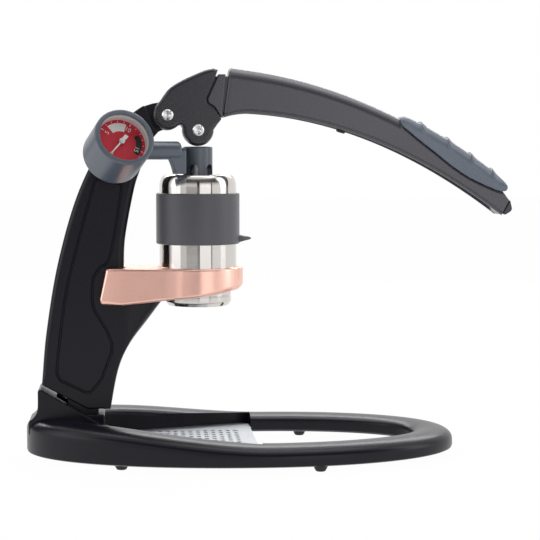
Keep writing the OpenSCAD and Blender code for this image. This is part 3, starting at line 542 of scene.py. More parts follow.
print("pieces meld at", MELD, "mm")

# %% [markdown]
# ## Base
# One casting: an oval ring whose crown climbs to the rear, a deck behind the drip tray and a
# sloping socket for the post. The ring could be turned if it were round. As it is an oval, a
# closed section with a crowned top is swept round it.

# %% Base ring
BASE_LENGTH, BASE_WIDTH, BASE_REAR = 279.0, 152.0, 158.5
BASE_MIDDLE, BASE_POWER = -8.0, 2.1
RING_W, RING_Z, RING_H, RING_RISE = 26.0, 4.0, 12.7, 10.0
INNER_LIFT, OUTER_DROP, INNER_DROP = 1.5, 8.5, 5.0
TRIM, RISE_OVER, CROWN_POWER = 0.13, 135, 0.7
STATIONS, CROWN_STEPS = 220, 24


def signed_power(v, e):
    return math.copysign(abs(v) ** e, v)


def base_line(angle, inward):
    """A point of the base's plan, moved inwards along its normal."""
    c, s = math.cos(angle), math.sin(angle)
    half = BASE_LENGTH - BASE_REAR - BASE_MIDDLE if c > 0 else BASE_REAR + BASE_MIDDLE
    e, f = 2 / BASE_POWER, 2 * (BASE_POWER - 1) / BASE_POWER
    x, y = BASE_MIDDLE + half * signed_power(c, e), BASE_WIDTH / 2 * signed_power(s, e)
    nx, ny = signed_power(c, f) / half, signed_power(s, f) / (BASE_WIDTH / 2)
    size = math.hypot(nx, ny)
    return x - inward * nx / size, y - inward * ny / size


def crown(x):
    t = min(1.0, max(0.0, -x / RISE_OVER))
    return RING_Z + RING_H + RING_RISE * t * t * (3 - 2 * t)


def ring_section(x):
    """Inset from the oval and height, round the section."""
    top = crown(x)
    points = [(RING_W - 1.2, RING_Z + INNER_LIFT), (RING_W, RING_Z + INNER_LIFT + 1.2)]
    for i in range(CROWN_STEPS + 1):
        a = math.pi * i / CROWN_STEPS
        drop = INNER_DROP if i < CROWN_STEPS / 2 else OUTER_DROP
        fall = drop * (1 - max(0.0, math.sin(a)) ** CROWN_POWER)
        points.append((RING_W * (1 + math.cos(a)) / 2, top - fall))
    return points + [(0, RING_Z + 2), (0.5, RING_Z + 0.7), (2, RING_Z), (RING_W * 0.68, RING_Z)]


loops = []
for i in range(STATIONS):
    angle = 2 * math.pi * (i + 0.5) / STATIONS
    section = ring_section(base_line(angle, 0)[0])
    loops.append([(*base_line(angle, d + TRIM), z) for d, z in section])
base = solid("base_body", skinned(loops, ring=True))
print("ring of", STATIONS, "sections")

# %% [markdown]
# The deck and socket are square where the ring is round, so they are joined to it as plain
# strips and blocks.

# %% Deck and socket
DECK_TOP, DECK_T = 21.5, 5.0
TRAY_X0, TRAY_L, TRAY_W, TRAY_REAR_W, TRAY_CLEAR = -87.0, 77.0, 124.0, 75.0, 0.8
SOCKET_W, SOCKET_WALL, SOCKET_TOP, SOCKET_LOW = 31.0, 3.0, 46.0, 28.5
SOCKET_REAR, SOCKET_FRONT = -150.5, -108.0
SLOPE_END = (-111.5, DECK_TOP + 2)
TENON_X = (-139.0, -112.0)
TENON_HALF, TENON_Z = 8.5, DECK_TOP + 1.5
SCREW_X = BREW_X - 74
DECK_END = TRAY_X0 - TRAY_CLEAR
DECK = [(-145, 26.4), (-131, 26.2), (-125, 25.6), (-119.6, 24.6), (-112, 23.2), (-109, 22.8)]
LIP_WALL, LIP_T = DECK[-2:], 15.7
SHELF, SHELF_T = [(-110, 9.5), (DECK_END + 1, 9.5)], 2.5
BOSS_R, BOSS_Z = 16.5, (6.8, 18.3)


def half_plan(x, inward):
    """Half the width of the base's plan at x, inwards from its edge."""
    line = np.array([base_line(a, inward) for a in np.linspace(math.pi, 0, 400)])
    return float(np.interp(x, line[:, 0], line[:, 1]))


def floor_strip(levels, thick):
    """A floor between the ring's two sides, with a height for each x."""
    loops = []
    for x, top in levels:
        half = half_plan(x, RING_W / 2)
        loops.append([(x, -half, top - thick), (x, half, top - thick), (x, half, top), (x, -half, top)])
    return skinned(loops)


join(base, floor_strip(DECK, DECK_T))
join(base, floor_strip(LIP_WALL, LIP_T))
join(base, floor_strip(SHELF, SHELF_T))
AT_SCREW = at(SCREW_X, 0, 0)
join(base, rod(BOSS_R, *BOSS_Z, 64), AT_SCREW)
under_deck = DECK_TOP - DECK_T
fillet = [(-6, under_deck), (-6, 25), (-3.5, 26.6), (-1.4, 29.2), (-0.3, 32), (0, 35.5)]
cheeks = [(SOCKET_REAR + x, z) for x, z in fillet]
cheeks += [(SOCKET_REAR, SOCKET_TOP - 1.2), (SOCKET_REAR + 1.2, SOCKET_TOP), SLOPE_END,
           (SLOPE_END[0], under_deck)]
join(base, plate(softened(cheeks, 1.5, 1), -SOCKET_W / 2, SOCKET_W / 2, 1.0))
block = [(TENON_X[0], under_deck), (SOCKET_FRONT, under_deck), (SOCKET_FRONT, SOCKET_LOW),
         (TENON_X[0], SOCKET_LOW)]
half_block = SOCKET_W / 2 - SOCKET_WALL
join(base, plate(softened(block, 1.5, 1), -half_block, half_block, 1.0))
print("deck ends at", DECK_END, "mm")

# %% [markdown]
# The pockets are cut last, as they would be milled: one for the tray, which widens with the
# oval, one for the post's tenon, and a stepped hole for the thumbscrew.

# %% Pockets of the base
LEDGE_Z, ABOVE, WELL_CLEAR = 7.0, 80, 0.1
KNOB_R, SCREW_BORE = 14.5, 4.3
wall_lean = (TRAY_W - TRAY_REAR_W) / 2 / TRAY_L
spare = TRAY_CLEAR * math.hypot(1, wall_lean)
rear_half = TRAY_REAR_W / 2 - wall_lean * TRAY_CLEAR + spare
front_half = TRAY_W / 2 + wall_lean * TRAY_CLEAR + spare
pocket_end = TRAY_X0 + TRAY_L + TRAY_CLEAR
pocket = [(DECK_END, -rear_half), (pocket_end, -front_half), (pocket_end, front_half), (DECK_END, rear_half)]
cut(base, cutter(softened(pocket, 2.0, 1), LEDGE_Z, ABOVE, False))
well_x, well_z = (TENON_X[0] - WELL_CLEAR, TENON_X[1] + WELL_CLEAR), TENON_Z - 0.3
well = [(well_x[0], well_z), (well_x[1], well_z), (well_x[1], ABOVE), (well_x[0], ABOVE)]
cut(base, cutter(softened(well, 3.0, 0), -TENON_HALF - WELL_CLEAR, TENON_HALF + WELL_CLEAR))
stepped = [(0, -5), (KNOB_R, -5), (KNOB_R, under_deck), (SCREW_BORE, under_deck), (SCREW_BORE, 40), (0, 40)]
cut(base, turned(stepped, 64), AT_SCREW)
dress(base, stand_coat, "stand", "black_casting", "base_casting", crease=35)

# %% [markdown]
# Four short rubber cones carry the ring. Each is turned with a small radius where it meets
# the table.

# %% Feet
FOOT_SPOTS = [(26, 65.5), (26, -65.5), (-97, 50), (-97, -50)]
FOOT = [(0, 0), (2.6, 0), (3.2, 0.4), (4.75, 3.6), (4.6, 4.0), (2.5, 4.0), (2.5, 7.4), (0, 7.5)]
verts, faces = turned(FOOT, 40)
cones = [([(x + at_x, y + at_y, z) for x, y, z in verts], faces) for at_x, at_y in FOOT_SPOTS]
dress(solid("foot_cones", gathered(cones)), black_rubber, "stand", "black_rubber", "rubber_feet")

# %% [markdown]
# ## Post
# The post is a thick curved casting. Its rear and neck are flowing lines, its foot steps
# down into the socket, and a corbel swells forward under the bracket with a rounder nose.
# At the top it is cut back for the lever's cheeks, and only a thin tongue reaches the pin.
# A fine groove frames a panel on each side.

# %% Post body
PIVOT = (-66.6, 220.8)
POST_T = 23.0
REAR = [(-148, 48), (-145, 81), (-137, 127), (-123.2, 173.1), (-103.6, 208.8), (-82.6, 226.5), (-72.6, 228.8)]
NECK = [(-74.2, 208.5), (-76.2, 205.6), (-80, 197), (-84.1, 186.3), (-88.3, 173), (-94, 142.8), (-95, 124)]
CORBEL = [(-70.6, 101), (-71.9, 99.4), (-80.5, 88), (-92, 73), (-99, 57), (-104, 32)]
NOSE_REACH = [(32, 2.5), (60, 3.0), (73, 3.6), (80, 7.5), (88, 14.0), (99.4, 22.8), (101, 24.0)]
NOSE_POWER = [(32, 6.0), (70, 5.0), (80, 3.0), (88, 2.2), (101, 2.0)]
NOSE_LOW, NOSE_TOP = 32, 101
RELIEF_X, RELIEF_R = PIVOT[0] - 14.6, 26
FOOT_Z, FOOT_FADE = 48, 8


def along(table, x):
    return float(np.interp(x, *zip(*table)))


front_line = sorted((z, x) for x, z in flowing(CORBEL, 6))
front = [(along(front_line, z) - along(NOSE_REACH, z), z) for z in np.linspace(NOSE_TOP, NOSE_LOW, 40)]
rear = [p for p in flowing(REAR, 10) if p[0] < RELIEF_X]
body_line = softened(
    rear + [(RELIEF_X, PIVOT[1] + 6.2), (PIVOT[0] - 11.2, PIVOT[1] - 0.2)]
    + arc(PIVOT, 11.0, 186, 228, 6) + [(-72.8, 209.8)] + flowing(NECK, 8) + front + [(-119, NOSE_LOW)], 1.6)
depth = np.array([along(front_line, z) - along(NOSE_REACH, z) for z in body_line[:, 1]])
seam = (np.abs(body_line[:, 0] - depth) < 0.8) & (body_line[:, 1] < NOSE_TOP + 1)
relief = np.clip(1 - np.hypot(body_line[:, 0] - PIVOT[0], body_line[:, 1] - PIVOT[1]) / RELIEF_R, 0, 1)
foot = np.clip((body_line[:, 1] - FOOT_Z) / FOOT_FADE, 0, 1)
edges = np.where(seam, SHARP, np.clip(1.2 + 2.4 * foot - 7.0 * relief, 0.8, None))
post = solid("post_body", plate(body_line, -POST_T / 2, POST_T / 2, edges, steps=6))
print("post edge radius", round(float(edges.min()), 1), "to", round(float(edges.max()), 1), "mm")

# %% [markdown]
# The nose of the corbel is rounder than one edge radius can give. So it is skinned from level
# sections, square at the foot and almost a half circle under the bracket.

# %% Post nose
NOSE_HALF = POST_T / 2 - SHARP
loops = []
for z in np.linspace(NOSE_LOW, NOSE_TOP, 44):
    reach, power = along(NOSE_REACH, z), along(NOSE_POWER, z)
    heel = along(front_line, z) - reach
    round_ = [(heel + reach * abs(math.cos(a)) ** (2 / power),
               NOSE_HALF * signed_power(math.sin(a), 2 / power), z) for a in sweep(-90, 90, 41)]
    loops.append([(heel - 2, -NOSE_HALF, z)] + round_ + [(heel - 2, NOSE_HALF, z)])
join(post, skinned(loops))
print("nose", len(loops), "levels")

# %% [markdown]
# The panel's groove could be a painted line, but it catches light on one lip and shade on the
# other. So a round tool is run along it on both sides, as an engraver would.

# %% Post tongue, tenon and panel groove
TONGUE_HALF, BUSH_R, SCREW_R = 6.6, 5.05, 2.06
THROUGH = 20.0
tongue = [(-88, 214), (-82.6, 226.3), (-76, 228.4)] + arc(PIVOT, 9, 95, -100, 16)
tongue += [(-72.2, 210.4), (-76.4, 205.6), (-84, 200)]
join(post, plate(softened(tongue, 1.0), -TONGUE_HALF, TONGUE_HALF, 0.8))
TENON_REAR = -132.0
tenon = [(TENON_REAR, TENON_Z), (TENON_X[1], TENON_Z), (TENON_X[1], 56), (TENON_REAR, 56)]
join(post, plate(softened(tenon, 2.0, 1), -TENON_HALF, TENON_HALF, 0.6))
drill(post, BUSH_R, -THROUGH, THROUGH, across(*PIVOT))
PANEL = (flowing([(-138.3, 56), (-136.6, 74), (-130.2, 115.6), (-112.6, 180.8)], 6)
         + flowing([(-95.6, 176.8), (-103.6, 131), (-110, 124)], 5)
         + [(-114.6, 117), (-115.6, 104.4), (-114.4, 96.6), (-105.7, 82.1), (-102.9, 74), (-103, 69),
            (-109.6, 51.4), (-116.6, 43), (-119.4, 42.6), (-137, 51.4)])
GROOVE_R = 0.95
frame_line = softened(PANEL, 3.0, 3)
normals = inset(frame_line, np.full(len(frame_line), 1.0)) - frame_line
tool_ring = arc((0, 0), GROOVE_R, 0, 324, 10)
for face in (-POST_T / 2, POST_T / 2):
    loops = [[(p[0] + n[0] * u, face + v, p[1] + n[1] * u) for u, v in tool_ring]
             for p, n in zip(frame_line, normals)]
    cut(post, skinned(loops, ring=True))
BRACKET_BOLTS = [(-100, 116), (-105, 108)]
for spot in BRACKET_BOLTS:
    drill(post, SCREW_R, -24, 0.2, across(*spot), 24)
dress(post, stand_coat, "stand", "black_casting", "post", crease=35)

# %% [markdown]
# ## Bracket
# A rose-gold yoke: two cheeks grip the post and flow into a ring that holds the portafilter.
# Its plan is drawn from circles that touch, as on a drawing board, so that the cheeks run into
# the ring without a corner.

# %% Bracket outline
RING_R, CHEEK_HALF, CHEEK_END = 29.2, 24.0, -111
BLEND_R, CORNER_R = 25.0, 3.0
SLOT_HALF, SLOT_END = POST_T / 2 + 0.05, -94.95
offset = math.sqrt((RING_R + BLEND_R) ** 2 - (CHEEK_HALF + BLEND_R) ** 2)
blend_x = BREW_X - offset
lean = math.degrees(math.atan2(CHEEK_HALF + BLEND_R, offset))
corner = (CHEEK_END + CORNER_R, CHEEK_HALF - CORNER_R)
near_side = arc((corner[0], -corner[1]), CORNER_R, 180, 270, 7)
near_side += arc((blend_x, -CHEEK_HALF - BLEND_R), BLEND_R, 90, lean, 8)
around = arc((BREW_X, 0), RING_R, lean - 180, 180 - lean, 60)
far_side = arc((blend_x, CHEEK_HALF + BLEND_R), BLEND_R, -lean, -90, 8) + arc(corner, CORNER_R, 90, 180, 7)
fork = [(CHEEK_END, SLOT_HALF), (SLOT_END, SLOT_HALF), (SLOT_END, -SLOT_HALF), (CHEEK_END, -SLOT_HALF)]
yoke = softened(near_side + around[1:-1] + far_side + fork, 1.5)
print("yoke of", len(yoke), "points")

# %% [markdown]
# The underside climbs towards the ring, so every point of the outline has a lower height of its
# own, and the lower edge grows rounder towards the toe. The cheeks taper upwards, as a casting
# leaves its mould, and flare towards the ring. The bore is stepped to seat the portafilter.

# %% Bracket body
BRACKET_TOP, SEAT_Z = 123.0, 112.0
UNDER_X, UNDER_Z, UNDER_RISE = -96.0, 99.7, 0.113
DRAFT, DRAFT_FROM, DRAFT_OVER = 2.4, 100, 23
LEAN, LEAN_FROM, LEAN_FADE = 0.2, -95.0, 14
FLARE = flowing([(CHEEK_END, 0.895), (-105, 0.935), (-98, 0.967), (-90, 0.99), (-80, 1.02), (-69, 1.045),
                 (-60, 1.03), (-50, 1.0)], 8)
under = UNDER_Z + UNDER_RISE * np.clip(yoke[:, 0] - UNDER_X, 0, None)
toe = 2.0 + 3.0 * np.clip((yoke[:, 0] - BREW_X) / RING_R, 0, 1) + 2.0 * np.clip((-98 - yoke[:, 0]) / 10, 0, 1)
verts, faces = plate(yoke, under, BRACKET_TOP, (toe, 1.5), False, 6)
draw_in = inset(yoke, np.full(len(yoke), 1.0)) - yoke
draw_in = draw_in * draw_in[:, 1:] ** 2 * (np.abs(yoke[:, 1:]) > SLOT_HALF + 2)
points = []
for k, (x, y, z) in enumerate(verts):
    step = draw_in[k % len(yoke)] * DRAFT * max(0.0, (z - DRAFT_FROM) / DRAFT_OVER)
    x, y = x + step[0], y + step[1]
    if abs(y) > SLOT_HALF + 2:
        y = y * along(FLARE, x)
    tip = max(0.0, min(1.0, (LEAN_FROM - x) / LEAN_FADE))
    points.append((x + tip * LEAN * (z - DRAFT_FROM), y, z))
bracket = solid("bracket_body", (points, faces))
bore = [(0, 90), (21.8, 90), (21.8, SEAT_Z), (25.3, SEAT_Z), (25.3, BRACKET_TOP - 0.8),
        (26.3, BRACKET_TOP + 0.2), (26.3, 140), (0, 140)]
BREW = at(BREW_X, 0, 0)
cut(bracket, turned(bore), BREW)
HEAD_R = 3.65


def screw_seat(outer, step, end):
    """A hole for a socket screw, with room for its head."""
    hole = [(0, outer), (HEAD_R, outer), (HEAD_R, step), (SCREW_R, step), (SCREW_R, end), (0, end)]
    return turned(hole, 32)


for spot in BRACKET_BOLTS:
    cut(bracket, screw_seat(-30, -21, -5), across(*spot))
dress(bracket, rose_anodised, "stand", "rose_metal", "bracket", crease=35)

# %% [markdown]
# ## Brew cylinder, sleeve and portafilter
# All three are turned. The cylinder has a round shoulder at the top, the silicone sleeve
# rolls over at both ends and carries a pull tab, and the portafilter ends in a chamfer round
# its spout.

# %% Turned brew parts
CYL_Z, CYL_TOP, CYL_R, BORE_R = 117.0, 182.7, 25.0, 20.0
shoulder = [(CYL_R - 4 * (1 - math.cos(a)), CYL_TOP - 8 * (1 - math.sin(a))) for a in sweep(0, 86, 14)]
cylinder = [(BORE_R, CYL_Z), (CYL_R - 0.4, CYL_Z), (CYL_R, CYL_Z + 0.4)] + shoulder
cylinder += [(BORE_R + 0.6, CYL_TOP), (BORE_R, CYL_TOP - 0.6)]
cup = [(9, 99.1), (10, 98.1), (19.2, 98.1), (19.8, 98.4), (21.2, 100.4), (21.5, 101.2), (21.5, 104),
       (21.1, 104.3), (21.1, 104.7), (21.5, 105), (21.5, SEAT_Z), (24.7, SEAT_Z), (25, SEAT_Z + 0.3),
       (25, 115.7), (24.7, 116), (19.3, 116), (19.3, 101.1), (9, 101.1)]
steels = (("cylinder_body", cylinder, "brew_cylinder"), ("portafilter_cup", cup, "portafilter"))
for name, profile, node in steels:
    dress(solid(name, turned(profile, 160), BREW), turned_steel, "stand", "polished_steel", node)
SLEEVE_Z, SLEEVE_TOP, SLEEVE_IN, SLEEVE_OUT = 138.0, 170.8, 25.05, 27.05
sleeve = [(SLEEVE_IN, SLEEVE_Z + 0.3)] + arc((SLEEVE_OUT - 0.9, SLEEVE_Z + 0.9), 0.9, -110, 0, 7)
sleeve += arc((SLEEVE_OUT - 0.9, SLEEVE_TOP - 0.9), 0.9, 0, 110, 7) + [(SLEEVE_IN, SLEEVE_TOP - 0.3)]
band = solid("sleeve_band", turned(sleeve, 160), BREW)
TAB_X, TAB_REACH, TAB_LOW, TAB_HIGH = -22.5, 10, 138.6, 143.8
tab = [(TAB_X, -7.5), (-17, -5.6)] + arc((-16.2, 0), 3.8, -70, 70, 10) + [(-17, 5.6), (TAB_X, 7.5)]
leaf = softened(tab, 1.0)
out = np.clip((leaf[:, 0] - TAB_X) / TAB_REACH, 0, 1)
join(band, plate(leaf, TAB_LOW + 2.0 * out, TAB_HIGH - 1.6 * out, 1.5 - 0.8 * out, False))
dress(band, sleeve_silicone, "stand", "sleeve_rubber", "silicone_sleeve")

# %% [markdown]
# ## Lever
# The head is a pair of cheeks with two round lobes, one for each pin. The arm is a long bow:
# its top and bottom are two parabolas, its upper edges are broad and round, and it is hollow
# underneath, between two thin lips. The grip pad lies in a scoop of the arm's back, so arm and pad
# share one line.

# %% Lever head
HEAD_HALF, SLOT = 13.0, 7.0
ROLLER = (BREW_X, 211.2)
ROLLER_R, ROLLER_ROOM, EYE_ROOM, PIN_R = 10.1, 10.9, 10.2, 3.65
ARM_TONGUE_HALF, TONGUE_FIT = 6.5, 0.1


def from_pivot(points):
    return [(PIVOT[0] + x, PIVOT[1] + z) for x, z in points]


crest = flowing(from_pivot([(-8.2, 4.75), (-4.4, 9.6), (-1.8, 13.4), (1.4, 17.2), (7.1, 21), (14.8, 24.8),
                            (23.7, 28.6), (29.5, 29.9)]), 5)
jaw = from_pivot([(32.2, 29.0), (30.8, 24.9), (24.3, 10.2), (25.3, 7), (29.4, 4.5), (34.5, -2.5), (32, -5.7)])
head_line = softened(arc(PIVOT, 9.5, 315, 152, 18) + crest[1:] + jaw + arc(ROLLER, 9.7, 0, -172, 20)
                     + from_pivot([(9.9, -8.8), (9.5, -7.3), (8.6, -6.3), (7.6, -6.2)]), 0.9)
out_x, up_z = head_line[:, 0] - PIVOT[0], head_line[:, 1] - PIVOT[1]
jaw_near = np.clip((out_x - 18) / 6, 0, 1) * np.clip((up_z + 6) / 3, 0, 1) * np.clip((30.6 - up_z) / 2, 0, 1)
inner_jaw = (out_x > 22) & (up_z < 1.9 * out_x - 30)
head_edge = 2.6 - 1.8 * jaw_near * inner_jaw
head = solid("head_cheeks", plate(head_line, -HEAD_HALF, HEAD_HALF, head_edge, steps=6))
throat = [PIVOT] + arc(PIVOT, 60, 56, 318, 17)
cut(head, cutter(softened(throat, 4.0, 0), -SLOT, SLOT))
for spot, radius in ((PIVOT, EYE_ROOM), (ROLLER, ROLLER_ROOM)):
    drill(head, radius, -SLOT, SLOT, across(*spot))
left, right = ROLLER[0] - ROLLER_ROOM, ROLLER[0] + ROLLER_ROOM
below = [(left, 150), (right, 150), (right, ROLLER[1]), (left, ROLLER[1])]
cut(head, cutter(softened(below, 4.0, 0), -SLOT, SLOT))
TONGUE = from_pivot([(19, 13.5), (26, 3.6), (36, 1.5), (44, 4), (44, 25.5), (30, 25.0), (21, 20)])
half_room = ARM_TONGUE_HALF + TONGUE_FIT
cut(head, cutter(softened(TONGUE, 2.0, 1), -half_room, half_room))
for spot in (PIVOT, ROLLER):
    drill(head, PIN_R, -THROUGH, THROUGH, across(*spot), 40)
ARM_BOLTS = from_pivot([(24, 14), (29, 20)])
for spot in ARM_BOLTS:
    cut(head, screw_seat(-15, -10, 4.9), across(*spot))
dress(head, lever_coat_painted_lighter, "lever", "black_casting", "lever_head", crease=35)

# %% [markdown]
# The arm could be bent along a curve, but its section changes all the way. So the lines of its
# back, its underside and its scoop are given, and a section is drawn between them at any place.

# %% Lines of the arm
ARM_START, PAD_START = 35.6, 150.6
ARM_HALF, ARM_ROUND, LIP, LIP_GROOVE = 11.5, 8.0, 1.5, 0.5
CHANNEL = [(44, 0.35), (50, 5.5), (209, 5.5), (214.5, 0.35)]
CHANNEL_HALF = 9.3
WRAP = [(150.6, 2.2), (150.9, 3.2), (151.7, 4.5), (155, 5.3), (160.8, 7.1), (166.7, 8.5), (172.5, 9.6),
        (178.4, 10.9), (184.3, 11.9), (190.2, 12.2), (196, 12.0), (201.9, 10.9), (207.8, 9.5), (213.7, 7.6),
        (216.7, 6.4)]
ARM_TAIL = [(218.6, 5.0), (221.7, 7.2), (222.5, 7.3), (226, 9.5)]


def arm_top(x):
    """The arm's back above the pivot, a parabola."""
    u = x - 40
    return 30.4 - 0.0876 * u - 0.001848 * u * u


def arm_low(x):
    """The arm's underside, a parabola with a belly near the head."""
    u = x - 67
    return 0.2 - 0.11 * u - 0.002137 * u * u if u > -15 else 1.37 - 0.011 * (u + 15) ** 2


def arm_section(low, high, half, top_r, deep):
    """Half of the arm's section, from the hollow under it up to its top middle."""
    side = [(CHANNEL_HALF, low + deep), (CHANNEL_HALF, low + 0.3), (CHANNEL_HALF + 0.3, low)]
    side += [(half - 0.7, low)] + arc((half - 0.7, low + 0.7), 0.7, -60, 0, 4)
    side += [(half, low + LIP), (half - LIP_GROOVE, low + LIP + 0.2), (half - LIP_GROOVE, low + LIP + 0.8),
             (half, low + LIP + 1.0)]
    return side + arc((half - top_r, high - top_r), top_r, 0, 90, 13)


def arm_loop(x, shrink=0.0, slope=0.0):
    high = arm_top(x) - (along(WRAP + ARM_TAIL, x) + 0.05 if x > PAD_START else 0)
    low = arm_low(x) + shrink
    top_r = ARM_ROUND - 0.5 * shrink if x <= PAD_START else 2.2
    side = arm_section(low, high - shrink, ARM_HALF - shrink, top_r, along(CHANNEL, x))
    loop = side + [(-y, z) for y, z in side[::-1]]
    return [(PIVOT[0] + x + slope * (z - low), y, PIVOT[1] + z) for y, z in loop]


print("arm", round(arm_top(PAD_START) - arm_low(PAD_START), 1), "mm deep at the pad")

# %% [markdown]
# The sections are skinned, and the tip is sawn off for its cap. A tongue goes into the head,
# and a collar and a wedge fill the seam between the two castings.

# %% Lever arm
END_R, END_LEAN, LEAN_OVER = 1.6, 0.14, 14.0
COLLAR_HALF, WEDGE_HALF = 9.4, 11.8
loops = []
for a in sweep(0, 90, 6):
    loops.append(arm_loop(ARM_START + END_R * (1 - math.cos(a)), END_R * (1 - math.sin(a)), END_LEAN))
bare = np.linspace(ARM_START + 3, PAD_START, 60)
scooped = np.linspace(PAD_START + 0.15, ARM_TAIL[-1][0], 60)
for x in np.concatenate([bare, scooped]):
    fade = max(0.0, 1 - (x - ARM_START) / LEAN_OVER)
    loops.append(arm_loop(x, 0.0, END_LEAN * fade))
arm = solid("arm_body", skinned(loops))
saw = from_pivot([(227.4, -45), (240, -45), (240, -72), (213.3, -72)])
cut(arm, cutter(softened(saw, 6.0, 0), -THROUGH, THROUGH))
join(arm, plate(softened(TONGUE, 1.2), -ARM_TONGUE_HALF, ARM_TONGUE_HALF, 1.2))
collar = from_pivot([(32, 0.5), (40, 1.5), (41, 24.5), (33, 25)])
join(arm, plate(softened(collar, 1.2, 1), -COLLAR_HALF, COLLAR_HALF, 0.6))
wedge = from_pivot([(32.7, 26.2), (25.5, 10.2), (26.2, 7.9), (30.2, 5.3), (34.0, -1.4), (35.6, -1.6),
                    (35.0, 2), (37.0, 23.4), (37.2, 26.2)])
join(arm, plate(softened(wedge, 0.8, 1), -WEDGE_HALF, WEDGE_HALF, 0.9))
for spot in ARM_BOLTS:
    drill(arm, SCREW_R, -15, 5.05, across(*spot), 24)
dress(arm, arm_coat_painted_lightest, "lever", "black_casting", "lever_arm", crease=32)

# %% [markdown]
# The pad is soft silicone with four low ribs for the fingers. It is swept along the same
# line as the arm: its top rises out of the arm, its lower edge follows the scoop, and each
# rib is a small swell that dies away down the sides.

# %% Grip pad
RISE = [(150.7, -0.5), (151.2, 1.0), (152.2, 2.1), (154, 3.0), (156.3, 3.6), (159, 4.0), (163, 4.25),
        (176, 4.4), (190, 4.4), (206, 4.2), (212, 3.9), (216, 3.4), (219, 2.6), (220.4, 1.8), (221.1, 0.9)]
PAD_TAIL = [(218.6, 4.9), (220.2, 3.4), (221.1, 1.6)]
PAD_END = 221.1
RIBS = (165.0, 182.3, 197.7, 211.8)
RIB_H, RIB_STEEP, RIB_LONG, RIB_REACH = 1.5, 0.5, 2.4, 6.5
PAD_HALF = ARM_HALF + 0.3


def pad_loop(x):
    low, high = arm_top(x) - along(WRAP + PAD_TAIL, x), arm_top(x) + along(RISE, x)
    swell = sum(RIB_H * math.exp(-((x - r) / (RIB_STEEP if x < r else RIB_LONG)) ** 2) for r in RIBS)
    top_r = min(8.0, 0.7 * (high - low))
    half = PAD_HALF - 0.8 * math.exp(-(x - PAD_START) / 1.2)
    side = [(half - 0.5, low, 1, 0), (half, low + 0.5, 1, 0)]
    side += [(half - top_r * (1 - math.cos(a)), high - top_r * (1 - math.sin(a)), math.cos(a), math.sin(a))
             for a in sweep(0, 90, 14)]
    loop = []
    for y, z, out, up in side + [(-y, z, -out, up) for y, z, out, up in side[::-1]]:
        lift = swell * max(0.0, min(1.0, (z - high + RIB_REACH) / 3.0))
        loop.append((PIVOT[0] + x, y + out * lift, PIVOT[1] + z + up * lift))
    return loop


loops = [pad_loop(x) for x in np.linspace(PAD_START + 0.1, PAD_END, 280)]
dress(solid("grip_ribbed", skinned(loops)), grip_silicone, "lever", "grey_rubber", "grip_pad", crease=50)

# %% [markdown]
# The small parts of the lever come off a lathe or out of a press: a cap on the sawn tip, a
# rubber stud, two dowels with a dished end that shows in the lobes, and the roller.

# %% End cap, bumper, pins and roller
CAP_HALF = 10.5
cap = from_pivot([(222.7, -54.9), (223.5, -55.2), (223.9, -57.2), (224.7, -60.4), (223.9, -62.2),
                  (220.2, -64.5), (218.6, -63.8), (218.2, -63.3)])
tip = solid("tip_cap", plate(softened(cap, 0.7), -CAP_HALF, CAP_HALF, 1.0))
dress(tip, lever_coat_painted_lighter, "lever", "black_plastic", "lever_end_cap")
BUMPER_X = 113.0
fall = math.degrees(math.atan((arm_low(BUMPER_X - 1) - arm_low(BUMPER_X + 1)) / 2))
at_bumper = at(PIVOT[0] + BUMPER_X, 0, PIVOT[1] + arm_low(BUMPER_X)) @ spin(fall, "Y")
stud = [(0, -1.65), (2.3, -1.65), (2.7, -1.45), (3.4, -0.25), (3.3, -0.05), (2.2, -0.05), (2.2, 5), (0, 5)]
dress(solid("arm_stud", turned(stud, 40), at_bumper), black_rubber, "lever", "black_rubber", "arm_bumper")
pin = [(0, -12.9), (1.0, -12.9), (1.4, -13.2), (1.7, -13.55), (2.9, -13.6), (3.6, -13.1)]
pin += [(r, -z) for r, z in pin[::-1]]
for name, spot, node in (("pivot_dowel", PIVOT, "pivot_pin"), ("roller_dowel", ROLLER, "roller_pin")):
    dress(solid(name, turned(pin, 96), across(*spot)), pin_steel, "lever", "polished_steel", node, crease=25)
tyre = [(3.66, -6.7), (9.6, -6.7), (ROLLER_R, -6.2)]
tyre += [(r, -z) for r, z in tyre[::-1]]
wheel = solid("roller_wheel", turned(tyre, 96), across(*ROLLER))
dress(wheel, satin_steel, "roller", "steel", "press_roller")

# %% [markdown]
# ## Stem and gauge
# The stem cap, its web and the gauge tube are one moulding in grey nylon. The web is a low
# bridge with a thin upright wall on its front edge, so that the raised lever's eye passes
# behind the wall. The gauge leans back on the end of the tube, so all its pieces are built flat
# on a frame that is then tilted into place.

# %% Stem manifold
STEM_R, STEM_TOP, STEM_LOW, TUBE_Z = 9.6, 200.8, 176.7, 198.2
GAUGE_YAW, GAUGE_TILT, GAUGE_REACH, GAUGE_OFFSET = 20.0, 26.0, 61.5, 15.5
TUBE_R, TUBE_START, CASE_R = 5.75, 18.6, 19.0
AT_STEM = at(BREW_X, 0, TUBE_Z) @ spin(GAUGE_YAW, "Z")
AT_TUBE = AT_STEM @ at(-GAUGE_REACH, -GAUGE_OFFSET, 0)
AT_GAUGE = AT_TUBE @ spin(90 - GAUGE_TILT, "X")
ALONG_X = spin(90, "Y")

